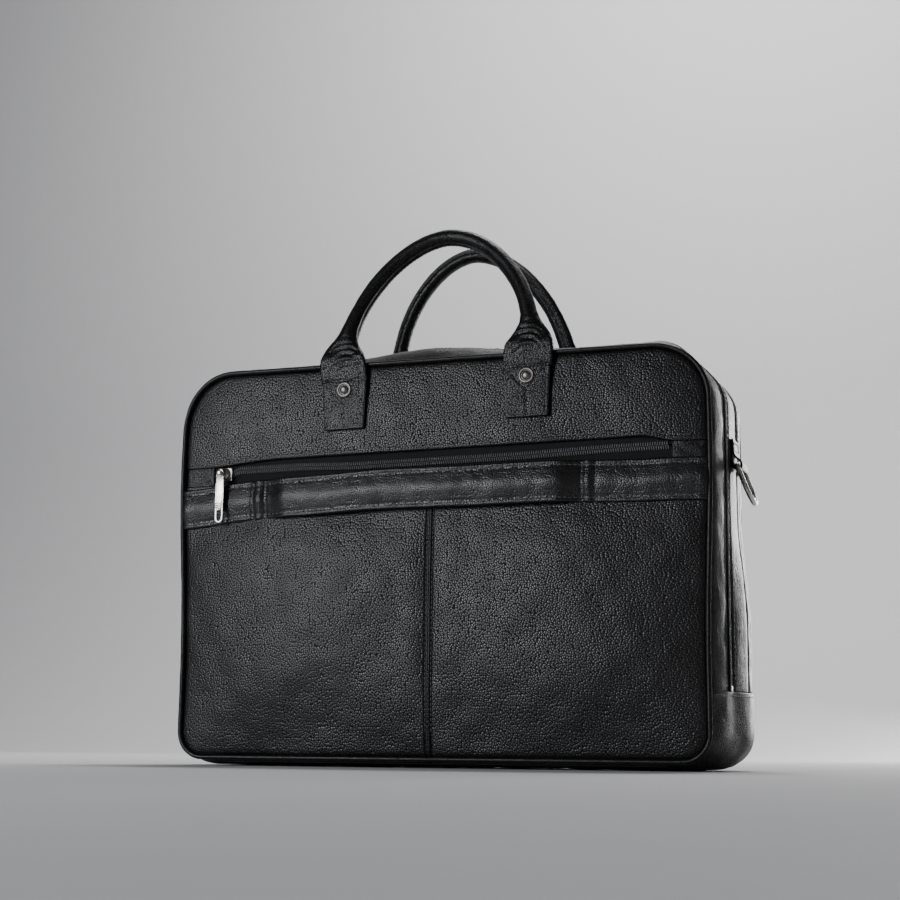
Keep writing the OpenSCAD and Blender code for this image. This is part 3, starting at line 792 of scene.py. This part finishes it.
def build_gusset_zip(name, y, z0, blend, cover_side):
    """A zip along the gussets from height z0 over the top: one half rides on the case."""
    s0, s1 = at_height(z0), LOOP - at_height(z0)
    s = np.arange(s0 + 4, s1 - 4, 1.0)
    middle, out = wall(s, y, 0.15), wall_out(s, y)
    along = unit(np.gradient(middle, axis=0))
    for side, half, body in ((cover_side, "cover", blend), (-cover_side, "case", "case")):
        ys = sorted(y + side * reach for reach in TAPE_REACH)
        piece(f"{name}_{half}_tape",
              strip(s0, s1, *ys, thick=0.9, seed=12, rough=0.06, sink=0.9, step=4.0), TAPE,
              body, [f"{name}_{half}_half"])
        piece(f"{name}_{half}_teeth", teeth(middle, along, Y, out, side, 0.5 * (side > 0)), TEETH,
              body)
    stops = [box(middle[k] - along[k] * 2.2 * way, (4.4, 5.6, 2.0), along[k], Y, out[k])
             for k, way in ((0, 1), (-1, -1))]
    piece(f"{name}_end_stops", stops, NICKEL, "case", [f"{name}_stops"], bevel=0.5)


def build_pocket_zip():
    """The back pocket's zip: two rows of teeth, two tapes and the end stops."""
    x = np.arange(-SLOT_HALF + 4, SLOT_HALF, 1.0)
    middle = stack(x, -(PANEL_Y - 0.9), zip_height(x))
    piece("pocket_zip_teeth", teeth(middle, X, Z, -Y, 1, 0.5) + teeth(middle, X, Z, -Y, -1, 0), TEETH,
          "back_cover")
    x = np.linspace(-SLOT_HALF - 4, SLOT_HALF + 4, 160)[:, None]
    t = np.array([0.7, 0.75, 2.0, 3.3, 3.9, 5.0, 6.5, 8.0, 10.0, 12.0])
    lift = np.array([0, 0.35, 0.4, 0.45, 0.1, 0.2, 0.1, 0.3, 0.5, 0.9])
    tapes = []
    for side in (-1, 1):
        z = side * t + zip_height(x)
        outer = stack(x, -(PANEL_Y - 2.1) - lift + 0.15 * ripples(stack(x, 0, z), 22, 51), z)
        tapes.append(shell(outer, outer + (0, 0.8, 0)))
    piece("pocket_zip_tape", tapes, TAPE, "back_cover", ["pocket_zip"])
    stops = [box((s * (SLOT_HALF + 0.6), -(PANEL_Y - 2.6), SLOT_Z), (2.4, 1.6, 6.4)) for s in (-1, 1)]
    piece("pocket_end_stops", stops, NICKEL, "back_cover", ["pocket_zip_stops"], bevel=0.5)


# ---------------------------------------------------------------- handles

# height, half width, half thickness, roundness, and how far in front of the panel's plane
TAB_SHAPE = np.array([
    (262.0, 16.8, 0.9, 0, 3.9), (262.4, 17.2, 1.3, 0, 3.9), (264.0, 17.4, 1.4, 0, 3.9),
    (280.0, 18.3, 1.4, 0, 4.1), (294.0, 19.1, 1.5, 0, 4.1), (301.0, 19.7, 1.6, 0, 4.2),
    (310.0, 20.2, 1.8, 0, 4.7), (316.0, 19.7, 2.1, 0, 5.2), (321.0, 18.3, 2.8, 0.12, 5.4),
    (326.0, 15.8, 3.8, 0.38, 4.9), (330.0, 13.0, 4.8, 0.62, 4.2), (334.0, 10.4, 5.6, 0.82, 3.5),
    (339.0, 8.2, 6.0, 0.95, 3.1), (346.0, 6.7, 6.2, 1, 3.0), (360.0, 6.2, 6.2, 1, 3.0)])


def tab_shape(z):
    """Half width, half thickness, roundness and stand of a handle's tab at height z."""
    return at_lengths(TAB_SHAPE[:, 1:], TAB_SHAPE[:, 0], z).T


def tab_section(count=22, corner=4):
    """Matching points round a flat tab's section and round a circle, both of half-size one."""
    turn = np.linspace(-np.pi / 2, np.pi / 2, corner + 2)[1:-1]
    face = stack(np.linspace(-0.97, 0.97, count), -1.0)
    side = stack(0.97 + 0.03 * np.cos(turn), np.sin(turn))
    first, last = np.radians(-90 - 72), np.radians(-90 + 72)
    around = np.concatenate([np.linspace(first, last, count),
                             np.linspace(last, first + np.pi, corner + 2)[1:-1]])
    around = np.concatenate([around, around + np.pi])
    return np.concatenate([face, side, -face, -side]), stack(np.cos(around), np.sin(around)), around


def handle_line(side):
    """The handle's middle line from the left tab's foot to the right one's, and its plane's normal."""
    t = np.linspace(0.03, np.pi - 0.03, 230)
    x = -FOOT_X * np.sign(np.cos(t)) * np.abs(np.cos(t)) ** (2 / GRIP_POWER)
    h = GRIP_LENGTH[side] * np.abs(np.sin(t)) ** (2 / GRIP_POWER)
    arch = stack(x, side * (HANDLE_Y - h * math.sin(LEAN[side])),
                 HANDLE_FOLD_Z + h * math.cos(LEAN[side]))[h > 2]
    z = np.linspace(TAB_LOW_Z, HANDLE_FOLD_Z - 3, 42)
    into = smooth((z - 296) / (HANDLE_FOLD_Z - 296))
    tab = stack(-(TAB_X + (FOOT_X - TAB_X) * into), side * (PANEL_Y + tab_shape(z)[3]), z)
    path = np.concatenate([tab, arch, tab[::-1] * (-1, 1, 1)])
    run = lengths(path)
    path = at_lengths(path, run, np.concatenate([[0, 0.3, 0.8], np.arange(1.6, run[-1] - 1.2, 1.2),
                                                 run[-1] - np.array([0.8, 0.3, 0])]))
    for _ in range(3):
        path[5:-5] = (path[4:-6] + path[5:-5] + path[6:-4]) / 3
    path[:, 0] += HANDLE_SHIFT[side]
    tilt = LEAN[side] * smooth((path[:, 2] - 312) / 20)
    return path, stack(0, side * np.cos(tilt), np.sin(tilt))


def tab_marks(x, z):
    """Creases, seams and folds on a tab's face, as height, at x from its middle and height z."""
    points = stack(x, 0, z)
    bend = z + 0.045 * x ** 2 + 1.8 * ripples(points, 18, 61)
    folds = (0.62 * hill(z - 324, 13) * np.sin(2 * np.pi * bend / 5.4)
             * smooth((19 - np.abs(x)) / 8 + 0.4))
    fine = (0.22 * np.sin(2 * np.pi * (z + 1.2 * ripples(points, 12, 62)) / 3.0)
            * smooth((z - 298) / 8) * smooth((340 - z) / 10))
    seam = 0.35 * hill(z - TAB_SEAM_Z + 2, 1.4) - 0.8 * hill(z - TAB_SEAM_Z, 0.9)
    arm, below = np.abs(x) - np.clip(z - 283, 0, None), smooth((TAB_SEAM_Z - z) / 2)
    vee = (-0.7 * hill(arm, 0.9) * smooth((z - 262) / 2) + 0.25 * hill(arm - 1.8, 1.2)) * below
    rim = hill(np.abs(x) - 15.9, 0.8) + hill(z - 264.8, 0.8)
    return folds + fine + seam + vee - 0.3 * rim * smooth((TAB_SEAM_Z - z) / 3)


RIVET_HEAD = [(0.0, -5.0), (1.5, -5.0), (1.5, 0.0), (6.1, -0.1), (6.3, 0.4), (6.0, 1.1), (5.2, 1.4),
              (4.6, 1.1), (4.2, 0.3), (3.8, 0.3), (3.5, 1.2), (2.9, 1.9), (2.0, 2.4), (1.0, 2.6),
              (0.0, 2.62)]
RIVET_BACK = [(0.0, -8.4), (3.9, -8.4), (4.1, -8.1), (3.9, -7.8), (1.5, -7.7), (1.5, -4.0), (0, -4.0)]


def build_handle(name, side, seam_turn):
    """A rolled handle whose ends open out into the two tabs. seam_turn is where its seam runs."""
    path, normal = handle_line(side)
    top = len(path) // 2
    outer = unit(np.cross(unit(np.gradient(path, axis=0)), normal))
    outer *= -1 if outer[top] @ (path[top] - (0, 0, 380.0)) < 0 else 1
    tab_z = path[:, 2, None]
    half_w, half_t, rounded, _ = tab_shape(path[:, 2])[..., None]
    flat, circle, around = tab_section()
    section = flat * (1 - rounded[..., None]) + circle * rounded[..., None]
    radial = ((section[..., 0] * half_w)[..., None] * outer[:, None]
              - (section[..., 1] * half_t)[..., None] * normal[:, None])
    loops = path[:, None] + radial
    radial = unit(radial)
    turn = np.abs((around - seam_turn + np.pi) % (2 * np.pi) - np.pi) * GRIP_R
    welt = 1.0 * hill(turn, 1.5) - 0.45 * hill(turn - 2.9, 0.8)
    rolled = smooth((rounded - 0.9) / 0.1) * smooth((tab_z - 322) / 16)
    swell = 0.18 * ripples(loops, 30, 63) + 0.08 * ripples(loops, 8, 64)
    loops = loops + radial * (welt * rolled + swell * rounded)[..., None]
    tab_x = HANDLE_SHIFT[side] + np.sign(path[:, :1]) * TAB_X
    mark = tab_marks(loops[..., 0] - tab_x, loops[..., 2])
    facing = np.clip(-section[..., 1], 0, 1) ** 0.5 * smooth((352 - tab_z) / 18)
    loops = loops + normal[:, None] * (mark * facing)[..., None]
    cover, grip_body = f"{name}_cover", f"{name}_handle"
    piece(f"{name}_handle_leather", sweep(loops), GRIP,
          (cover, grip_body, 316.0, 338.0), [grip_body, f"{name}_handle_core", f"{name}_handle_tabs"])
    seam, keep = np.argmin(turn), path[:, 2] > 338
    sew(f"{name}_handle_stitches",
        stitches(loops[keep, seam], radial[keep, seam], pitch=3.4, length=2.6, sink=0.0), grip_body)

    def tab_point(x, z, at):
        _, half_t, _, stand = tab_shape(z)
        return stack(at + x, side * (PANEL_Y + stand + half_t + tab_marks(x, z) + 0.2), z)
    rows, heads = [], []
    y = side * (PANEL_Y + 4.1 + 1.5)
    for at in (HANDLE_SHIFT[side] - TAB_X, HANDLE_SHIFT[side] + TAB_X):
        x, z = np.linspace(-15.9, 15.9, 30), np.linspace(TAB_SEAM_Z - 1.5, 265, 30)
        rim = np.concatenate([tab_point(-15.9, z, at), tab_point(x, 264.8 + 0 * x, at),
                              tab_point(15.9, z[::-1], at)])
        for line in (rim, tab_point(x, TAB_SEAM_Z - 1.6 + 0 * x, at)):
            rows.append(stitches(line, side * Y, pitch=3.1, length=2.4))
        for profile in (RIVET_HEAD, RIVET_BACK):
            heads.append(lathe(np.maximum(profile, (0.01, -20)), (at, y, RIVET_Z), side * Y))
    sew(f"{name}_tab_stitches", rows, cover)
    piece(f"{name}_tab_rivets", heads, OLD_NICKEL, cover, [f"{name}_rivets"])


# ---------------------------------------------------------------- sliders, pulls and rings

def oblong(half_w, low, high, low_r, high_r, count=10):
    """A rounded oblong from low to high along its first direction."""
    def corner(cx, cy, r, start):
        a = start + np.linspace(0, np.pi / 2, count)
        return stack(cx + r * np.cos(a), cy + r * np.sin(a))
    return np.concatenate([corner(high - high_r, half_w - high_r, high_r, 0),
                           corner(low + low_r, half_w - low_r, low_r, np.pi / 2),
                           corner(low + low_r, low_r - half_w, low_r, np.pi),
                           corner(high - high_r, high_r - half_w, high_r, 1.5 * np.pi)])


def plate(outline, hole, centre, axes, thick=1.8):
    """A flat plate with a hole through it. Both outlines have the same number of points."""
    loops = [np.asarray(centre) + stack(*r.T, k * thick) @ np.stack(axes)
             for r, k in ((outline, 0.5), (outline, -0.5), (hole, -0.5), (hole, 0.5))]
    n = len(outline)
    i = np.arange(n)
    faces = [np.stack([a * n + i, a * n + (i + 1) % n, b * n + (i + 1) % n, b * n + i], -1)
             for a, b in ((0, 1), (1, 2), (2, 3), (3, 0))]
    return solid(np.concatenate(loops), faces)


def pull_grip(pin, axes, outline, window, first, size):
    """A zip pull's plate with a window, and the collar of three rings round it."""
    rings = [box(pin + axes[0] * (first + 1.7 * k), size, *axes) for k in range(3)]
    return [plate(oblong(*outline), oblong(*window), pin, axes)] + rings


def build_gusset_slider(zip_name, side_name, y, cover_side):
    """A slider on a gusset's zip, and the pull that lies flat behind it."""
    sign = -1 if side_name == "left" else 1
    x_at = 9.0 * sign
    axes = (sign * X, Y, Z)
    slider, pull = (f"{zip_name}_{part}_{side_name}" for part in ("slider", "pull"))
    low = cad(slider)[1][2] - 5.4
    body = [box((x_at, y, low + 0.75), (12.5, 10.2, 1.5), *axes),
            box((x_at, y + cover_side * 2.6, low - 5.3), (12, 5.2, 1.2), *axes),
            box((x_at + sign * 1.0, y, low - 2.4), (3.4, 0.9, 5.6), *axes)]
    body += [box((x_at, y + k * 4.6, low - 0.3), (11.5, 0.9, 1.6), *axes) for k in (-1, 1)]
    arch = [(x_at + sign * px, y, low + pz) for px, pz in
            ((-4.6, 0.9), (-4.2, 2.6), (-2.6, 4.3), (-0.6, 5.1), (1.2, 4.9), (2.6, 3.6), (3.0, 1.0))]
    body.append(tube(curve(arch, 26), 1.15, 10, flat=1.5))
    piece(f"{zip_name}_{side_name}_slider_body", body, NICKEL, slider, [slider], bevel=0.35)
    pin = np.array([x_at, y, cad(pull)[0][2] + 2.0])
    parts = [lathe([(0.01, -4.2), (1.5, -4.2), (1.7, -3.9), (1.2, -3.4), (1.2, 3.4), (1.7, 3.9),
                    (1.5, 4.2), (0.01, 4.2)], pin, Y, 20)]
    parts += [box(pin + (sign * 4.6, k * 2.9, 0), (11.0, 1.2, 1.9), *axes) for k in (-1, 1)]
    parts += pull_grip(pin, axes, (3.9, 8.0, 36.0, 0.8, 3.85), (1.7, 24.5, 33.6, 1.6, 1.6), 17.4,
                       (1.1, 8.6, 2.4))
    piece(f"{zip_name}_{side_name}_pull_tab", parts, NICKEL, pull, [pull], bevel=0.4)


def build_pocket_slider():
    """The back pocket's slider with its domed post, and the pull that hangs from it."""
    low, high = cad("pocket_slider")
    pull_low, pull_high = cad("pocket_pull")
    x_at, face = (low[0] + high[0]) / 2, -PANEL_Y - 0.2
    pin = np.array([x_at, (pull_low[1] + pull_high[1]) / 2, SLOT_Z])
    body = [box((x_at, face - 0.8, SLOT_Z), (13.0, 1.7, 10.8)),
            box((x_at, face + 4.4, SLOT_Z), (12.0, 1.0, 10.0)),
            box((x_at + 1, face + 2.2, SLOT_Z), (3.2, 5.0, 0.9))]
    body += [box((x_at, face + 0.3, SLOT_Z + k * 4.9), (12.0, 1.8, 0.9)) for k in (-1, 1)]
    reach = face - pin[1]
    post = [(0.01, 0), (5.2, 0), (5.4, 1.2), (5.0, 2.4), (4.1, 3.6), (3.2, 4.4), (2.9, 5.0),
            (2.9, reach - 1.3), (1.2, reach - 1.2), (1.2, reach + 1.2), (2.4, reach + 1.3),
            (2.6, reach + 1.7), (2.2, reach + 2.2), (1.2, reach + 2.5), (0.01, reach + 2.55)]
    body.append(lathe(post, (x_at, face - 0.9, SLOT_Z), -Y))
    piece("pocket_slider_body", body, NICKEL, "pocket_slider", ["pocket_slider"], bevel=0.4)
    axes = (-Z, X, Y)
    eye = plate(oblong(3.4, -3.4, 3.4, 3.39, 3.39), oblong(1.35, -1.35, 1.35, 1.34, 1.34), pin, axes)
    grip = pull_grip(pin, axes, (3.75, 2.2, 40.75, 0.8, 3.74), (1.725, 30.5, 38.875, 1.6875, 1.6875),
                     24.8, (1.1, 8.4, 2.5))
    piece("pocket_pull_tab", [eye] + grip, NICKEL, "pocket_pull", ["pocket_pull"], bevel=0.4)


def build_dring_straps():
    """A strap on each side, folded round the D-ring's bar and sewn to the gusset."""
    wire, thick = 2.3, 1.5
    y = spread(-11, 11, 1.6, (0, 0.3, 0.8))
    half_t = thick / 2 - fold_in(11 - np.abs(y), 0.7)
    turn = np.linspace(0, -np.pi, 14)
    parts, rows = [], []
    for s, inner_x in ((-1, RING_X - 5.6), (1, RING_X - 6.4)):
        line = np.concatenate([
            [(inner_x + 2.6, 21), (inner_x + 2.8, 12), (inner_x + 4.0, 7.5), (RING_X + 2.4, 3.6)],
            stack(RING_X + (wire + thick / 2) * np.cos(turn), (wire + thick / 2) * np.sin(turn)),
            [(inner_x + 1.2, 5), (inner_x + 0.8, 12), (inner_x + 0.8, 21)]])
        line = curve(stack(line[:, 0], 0, RING_Z + line[:, 1]), 70)
        normal = np.cross(unit(np.gradient(line, axis=0)), Y)
        faces = [line[:, None] + way * normal[:, None] * half_t[:, None] for way in (1, -1)]
        parts.append(shell(*(stack(s * f[..., 0], RING_Y + y, f[..., 2]) for f in faces)))
        x = s * (inner_x + 2.8 + thick / 2 + 0.1)
        ys = np.linspace(RING_Y - 8.6, RING_Y + 8.6, 20)
        zs = np.linspace(RING_Z + 12.5, RING_Z + 18.5, 8)
        rows += [stitches(stack(x, ys, z), s * X, 3.0, 2.3) for z in (zs[-1], zs[0])]
        rows += [stitches(stack(x, at, zs), s * X, 3.0, 2.3) for at in (ys[0], ys[-1])]
    piece("dring_strap_leather", parts, GLOVE, "case", ["dring_tabs"])
    sew("dring_strap_stitches", rows, "case")


def build_dring(name, side):
    """A ring of round wire: a straight bar in the strap, two short legs and a half circle."""
    low, high = cad(name)
    half, leg = (high[1] - low[1]) / 2 - RING_WIRE, 15.0
    turn, down = np.linspace(0, np.pi, 40), np.linspace(1, leg - 1, 9)
    y, d = np.concatenate([
        stack(np.linspace(1 - half, half - 1, 14), 0), [(half - 0.3, 0.3)], stack(half, down),
        stack(half * np.cos(turn), leg + half * np.sin(turn)), stack(-half, down[::-1]),
        [(0.3 - half, 0.3)]]).T
    tilt = math.radians(20)
    path = stack(side * (RING_X + d * math.sin(tilt)), (high[1] + low[1]) / 2 + y,
                 RING_Z - d * math.cos(tilt))
    piece(f"{name}_wire", tube(path, RING_WIRE, 16, closed=True), NICKEL, name, [name])


# ---------------------------------------------------------------- inside

def grid_area(points):
    """The area of a grid of points, in square metres."""
    a, b = points[1:, :-1] - points[:-1, :-1], points[:-1, 1:] - points[:-1, :-1]
    c, d = points[1:, :-1] - points[1:, 1:], points[:-1, 1:] - points[1:, 1:]
    twice = np.linalg.norm(np.cross(a, b), axis=-1) + np.linalg.norm(np.cross(c, d), axis=-1)
    return twice.sum() / 2 * MM * MM


def liner(y, side, thick, low, relief, back=4.0, step=4.0):
    """A sheet inside the outline that faces side, from the height low to the top, with relief."""
    z = spread(low, TOP_Z - back, step, (0, 0.4, 1.2))[:, None]
    share = spread(-1, 1, step / HALF_W, (0, 0.002, 0.006))
    x = np.stack([share * half_width(h, back) for h in z[:, 0]])
    face = stack(x, y + side * relief(x, z), z)
    return face, shell(face, face - (0, side * thick, 0))


def cloth_relief(seed):
    """Cloth that is glued down, a little loose, with a pressed seam along its edge."""
    def relief(x, z):
        points = stack(x, 0, z)
        seam = -0.25 * hill(inset(x, z) - 10, 0.9)
        return 0.4 + 0.3 * ripples(points, 60, seed) + 0.12 * ripples(points, 16, seed + 1) + seam
    return relief


def build_linings():
    """A board in the back cover, and the cloth that covers the inside of both panels."""
    _, board = liner(cad("back_board")[1][1], 1, 2.0, BACK_BLEND[3] + 2, lambda x, z: 0 * x, back=6.0,
                     step=8.0)
    piece("back_stiffener", board, BOARD, "back_cover", ["back_board"], bevel=0.5)
    face, part = liner(cad("back_lining")[0][1] + 0.5, 1, 0.7, 60, cloth_relief(71))
    back = piece("back_lining_cloth", part, LINING, BACK_BLEND, ["back_lining"])
    grid_area(face)
    low = cad("front_lining")[0][2] + 4
    face, part = liner(cad("front_lining")[1][1], -1, 0.7, low, cloth_relief(73))
    front = piece("front_lining_cloth", part, LINING, FRONT_BLEND,
                  ["front_lining", "front_flap_lining"])
    grid_area(face)


def build_pocket_bag():
    """The zipped pocket's bag: one cloth, folded at its bottom."""
    low, high = cad("pocket_lining")
    foot, top = BACK_BLEND[3] - 4, high[2] - 1
    reach, middle = (high[1] - low[1]) / 2 - 0.4, (high[1] + low[1]) / 2
    turn = np.linspace(0, np.pi, 12)
    down = np.linspace(top, foot + reach, 36)
    line = np.concatenate([stack(-reach, down),
                           stack(-reach * np.cos(turn), foot + reach - reach * np.sin(turn)),
                           stack(reach, down[::-1])])
    ahead = unit(np.gradient(line, axis=0))
    normal = stack(0, -ahead[:, 1], ahead[:, 0])[:, None]
    xs = np.linspace(low[0] + 1, high[0] - 1, 90)
    face = stack(xs, middle + line[:, :1], line[:, 1:])
    face = face + normal * 0.35 * ripples(face, 45, 75)[..., None]
    bag = piece("pocket_bag_cloth", shell(face, face + normal * 0.4), LINING, "back_cover",
                ["pocket_lining"])
    lengths(line)[-1] * MM


def build_divider():
    """The padded wall between the two compartments, quilted in diamonds and bound."""
    cell, puff = 44.0, 1.2
    low, high = cad("divider")
    middle = (low[1] + high[1]) / 2
    loop = wall(np.arange(0, LOOP, 3.2), middle, 3.6)
    loop[:, 2] = np.maximum(loop[:, 2], low[2] + 1.8)
    centre = np.array([0, middle, (TOP_Z + BOTTOM_Z) / 2])
    shares = np.concatenate([np.linspace(0.01, 0.94, 66), [0.96, 0.975, 0.99, 1.0]])[:, None]
    x, _, z = np.moveaxis(centre + shares[..., None] * (loop - centre), -1, 0)
    quilt = puff * np.abs(np.sin(np.pi * (x + z) / cell) * np.sin(np.pi * (x - z) / cell)) ** 0.4
    stand = 1.0 + 0.5 * smooth((1 - shares) / 0.04) + quilt * smooth((1 - shares) / 0.06)
    faces = np.concatenate([stack(x, middle - stand, z), stack(x, middle + stand, z)[::-1]])
    pad = piece("divider_pad", sweep(faces), LINING, "case", ["divider"])
    piece("divider_binding", tube(loop, 1.7, 10, closed=True), PIPING, "case")


def pouch(half, y_wall, y_out, z0, z1, thick, relief, step=4.0, r=6.0):
    """An open-topped pocket standing on a wall: the line of its mouth, and its solid."""
    side, deep = np.sign(y_out - y_wall), abs(y_out - y_wall)
    turn = np.linspace(0, np.pi / 2, 8)
    corner = stack(half - r + r * np.cos(turn), deep - r + r * np.sin(turn))
    xs = spread(r - half, half - r, step)[1:-1][::-1]
    line = np.concatenate([[(half, 0.0)], corner, stack(xs, deep), (corner * (-1, 1))[::-1],
                           [(-half, 0.0)]])
    ahead = unit(np.gradient(line, axis=0))
    out = stack(ahead[:, 1], -side * ahead[:, 0], 0)[:, None]
    x, d = line[:, :1], line[:, 1:]
    z = spread(z0, z1, step, (0, 0.4, 1.2))
    push = relief(x, z) * smooth(d / deep * 2 - 1)
    outer = stack(x, y_wall + side * d, z) + out * push[..., None]
    inner = outer - thick * out
    return (outer[:, -1] + inner[:, -1]) / 2, shell(outer, inner)


def build_sleeve():
    """A padded laptop sleeve on the divider, its binding and its strap."""
    low, high = cad("laptop_sleeve")
    wall_y = high[1] - 1.6
    mouth, part = pouch(high[0], wall_y, low[1], low[2], high[2], 2.4,
                        lambda x, z: 0 * x + 1.3 * np.abs(np.sin(np.pi * (z - low[2]) / 30)) ** 0.5)
    foot = box(((low[0] + high[0]) / 2, (wall_y + low[1]) / 2, low[2] + 1.3),
               (high[0] - low[0] - 6, wall_y - low[1] - 4, 2.4))
    sleeve = piece("laptop_sleeve_pad", [part, foot], LINING, "case", ["laptop_sleeve"])
    piece("laptop_sleeve_binding", tube(mouth + (0, 0, 0.4), 1.9, 10), PIPING, "case")

    low, high = cad("laptop_strap")
    x = spread(low[0], high[0], 2.0, (0, 0.3, 0.8))
    z = spread(low[2], high[2], 2.0, (0, 0.3, 0.8))[:, None]
    y = wall_y - 0.9 - 0.5 * smooth((high[2] - z) / 20) - 0.15 * np.abs(np.sin(np.pi * z / 2.2))
    face = stack(x, y, z)
    piece("laptop_strap_webbing", shell(face, face + (0, 1.3, 0)), TAPE, "case",
          ["laptop_strap"])
    left, right, top, foot = low[0] + 3, high[0] - 3, high[2] - 3, high[2] - 15
    square = [(left, top), (right, top), (right, foot), (left, foot), (left, top), (right, foot)]
    path = straight([(a, wall_y - 1.15, b) for a, b in square])
    sew("laptop_strap_stitches", stitches(path, -Y, 3.0, 2.3), "case")


def build_organizer():
    """A flat pocket with pen slots on the divider's other face, bound in leather."""
    low, high = cad("organizer_pocket")
    slots = (-118.0, -94.0, -70.0, 20.0)

    def relief(x, z):
        lines = sum(hill(x - at, 1.2) for at in slots)
        return 0.8 - 0.8 * lines * smooth((z - low[2]) / 4) + 0.25 * ripples(stack(x, 0, z), 40, 77)
    wall_y = low[1] + 1.2
    mouth, part = pouch(high[0], wall_y, high[1], low[2], high[2], 1.2, relief, step=3.0, r=4.0)
    foot = box((0, (wall_y + high[1]) / 2, low[2] + 0.8), (2 * high[0] - 5, high[1] - wall_y - 1.5, 1.4))
    piece("organizer_cloth", [part, foot], LINING, "case", ["organizer_pocket"])
    piece("organizer_binding", tube(mouth + (0, 0, 0.3), 1.6, 10), PIPING, "case")
    z = np.arange(low[2] + 4, high[2] - 3, 1.5)
    sew("organizer_stitches", [stitches(stack(at, high[1] + 0.35, z), Y, 3.2, 2.4) for at in slots],
        "case")


def build_base_board():
    """The cloth-covered board that the case stands on."""
    low, high = cad("base_board")
    piece("base_board_cloth", box((low + high) / 2, high - low), BOARD, "case",
          ["base_board"], bevel=0.8, segments=3)


# ---------------------------------------------------------------- stage

def build_camera():
    """The camera, level with the case's foot and looking slightly up from its right."""
    azimuth, pitch, roll = (math.radians(v) for v in (21.0, -10.82, 0.5))
    back = Vector((math.sin(azimuth) * math.cos(pitch), -math.cos(azimuth) * math.cos(pitch),
                   math.sin(pitch)))
    right = Vector((math.cos(azimuth), math.sin(azimuth), 0))
    up = back.cross(right)
    turn = Matrix((right * math.cos(roll) + up * math.sin(roll),
                   up * math.cos(roll) - right * math.sin(roll), back)).transposed().to_4x4()
    camera = bpy.data.objects.new("camera", bpy.data.cameras.new("camera"))
    camera.matrix_world = Matrix.Translation((0.439, -1.160, 0.015)) @ turn
    camera.data.lens, camera.data.sensor_width, camera.data.clip_start = 62.4, 36.0, 0.01
    bpy.context.scene.collection.objects.link(camera)
    bpy.context.scene.camera = camera


def build_floor():
    """Pale studio paper, curved up behind the case. Its sizes are in metres."""
    look = Look("studio_paper")
    paper = look.finish(look.mix(look.noise(40, 3), (0.60, 0.60, 0.61), (0.62, 0.62, 0.63)), 0.9)
    width, front, behind, height, bend = 5.0, -3.0, 2.6, 4.2, 0.9
    turn = np.linspace(0.1, math.pi / 2, 14)
    profile = [(front, 0.0), (behind - bend, 0.0),
               *((behind - bend + bend * math.sin(a), bend - bend * math.cos(a)) for a in turn),
               (behind, height)]
    n = len(profile)
    mesh = bpy.data.meshes.new("studio_floor")
    mesh.from_pydata([(x, y, z) for x in (-width, width) for y, z in profile], [],
                     [(k, k + 1, n + k + 1, n + k) for k in range(n - 1)])
    mesh.materials.append(paper)
    mesh.polygons.foreach_set("use_smooth", [True] * len(mesh.polygons))
    floor = bpy.data.objects.new("studio_floor", mesh)
    bpy.context.scene.collection.objects.link(floor)


def build_light(name, place, target, size, power, tint=(1, 1, 1)):
    """A soft rectangular lamp. Its measures are in metres and watts."""
    lamp = bpy.data.lights.new(name, "AREA")
    lamp.shape, lamp.size, lamp.size_y, lamp.energy, lamp.color = "RECTANGLE", *size, power, tint
    obj = bpy.data.objects.new(name, lamp)
    obj.location = place
    obj.rotation_euler = (Vector(target) - Vector(place)).to_track_quat("-Z", "Y").to_euler()
    bpy.context.scene.collection.objects.link(obj)


def build_sky():
    """Even, weak light from all round."""
    world = bpy.data.worlds.new("studio")
    bpy.context.scene.world = world
    world.use_nodes = True
    sky = world.node_tree.nodes["Background"].inputs
    sky["Color"].default_value, sky["Strength"].default_value = (0.5, 0.5, 0.52, 1), 0.16


build_camera()
build_floor()
build_light("key_light", (-1.0, -2.0, 0.6), (0, 0, 0.2), (0.7, 1.0), 26, (0.94, 0.96, 1.0))
build_light("fill_light", (1.5, -1.8, 1.0), (0, 0, 0.2), (1.0, 1.0), 1.2)
build_light("rim_light", (0.62, 2.0, 0.3), (0.2, 0, 0.15), (0.5, 1.3), 26)
build_light("top_light", (-0.2, 0.9, 1.7), (0, 0, 0.25), (1.4, 0.6), 3)
build_light("wall_light", (0.0, 0.9, 2.6), (-0.6, 2.6, 0.9), (1.0, 1.0), 85)
build_sky()
build_back_panel()
build_end_tabs()
build_front_panel()
build_gussets()
build_piping()
build_band()
build_gusset_zip("main_zip", MAIN_ZIP_Y, FOLD_BACK_Z, BACK_BLEND, -1)
build_gusset_zip("front_zip", FRONT_ZIP_Y, FOLD_FRONT_Z, FRONT_BLEND, 1)
build_pocket_zip()
build_handle("back", -1, math.radians(150))
build_handle("front", 1, math.radians(60))
for zip_name, zip_y, cover_side in (("main", MAIN_ZIP_Y, -1), ("front", FRONT_ZIP_Y, 1)):
    for side_name in ("left", "right"):
        build_gusset_slider(zip_name, side_name, zip_y, cover_side)
build_pocket_slider()
build_dring_straps()
build_dring("left_dring", -1)
build_dring("right_dring", 1)
build_linings()
build_pocket_bag()
build_divider()
build_sleeve()
build_organizer()
build_base_board()

bpy.context.view_layer.update()
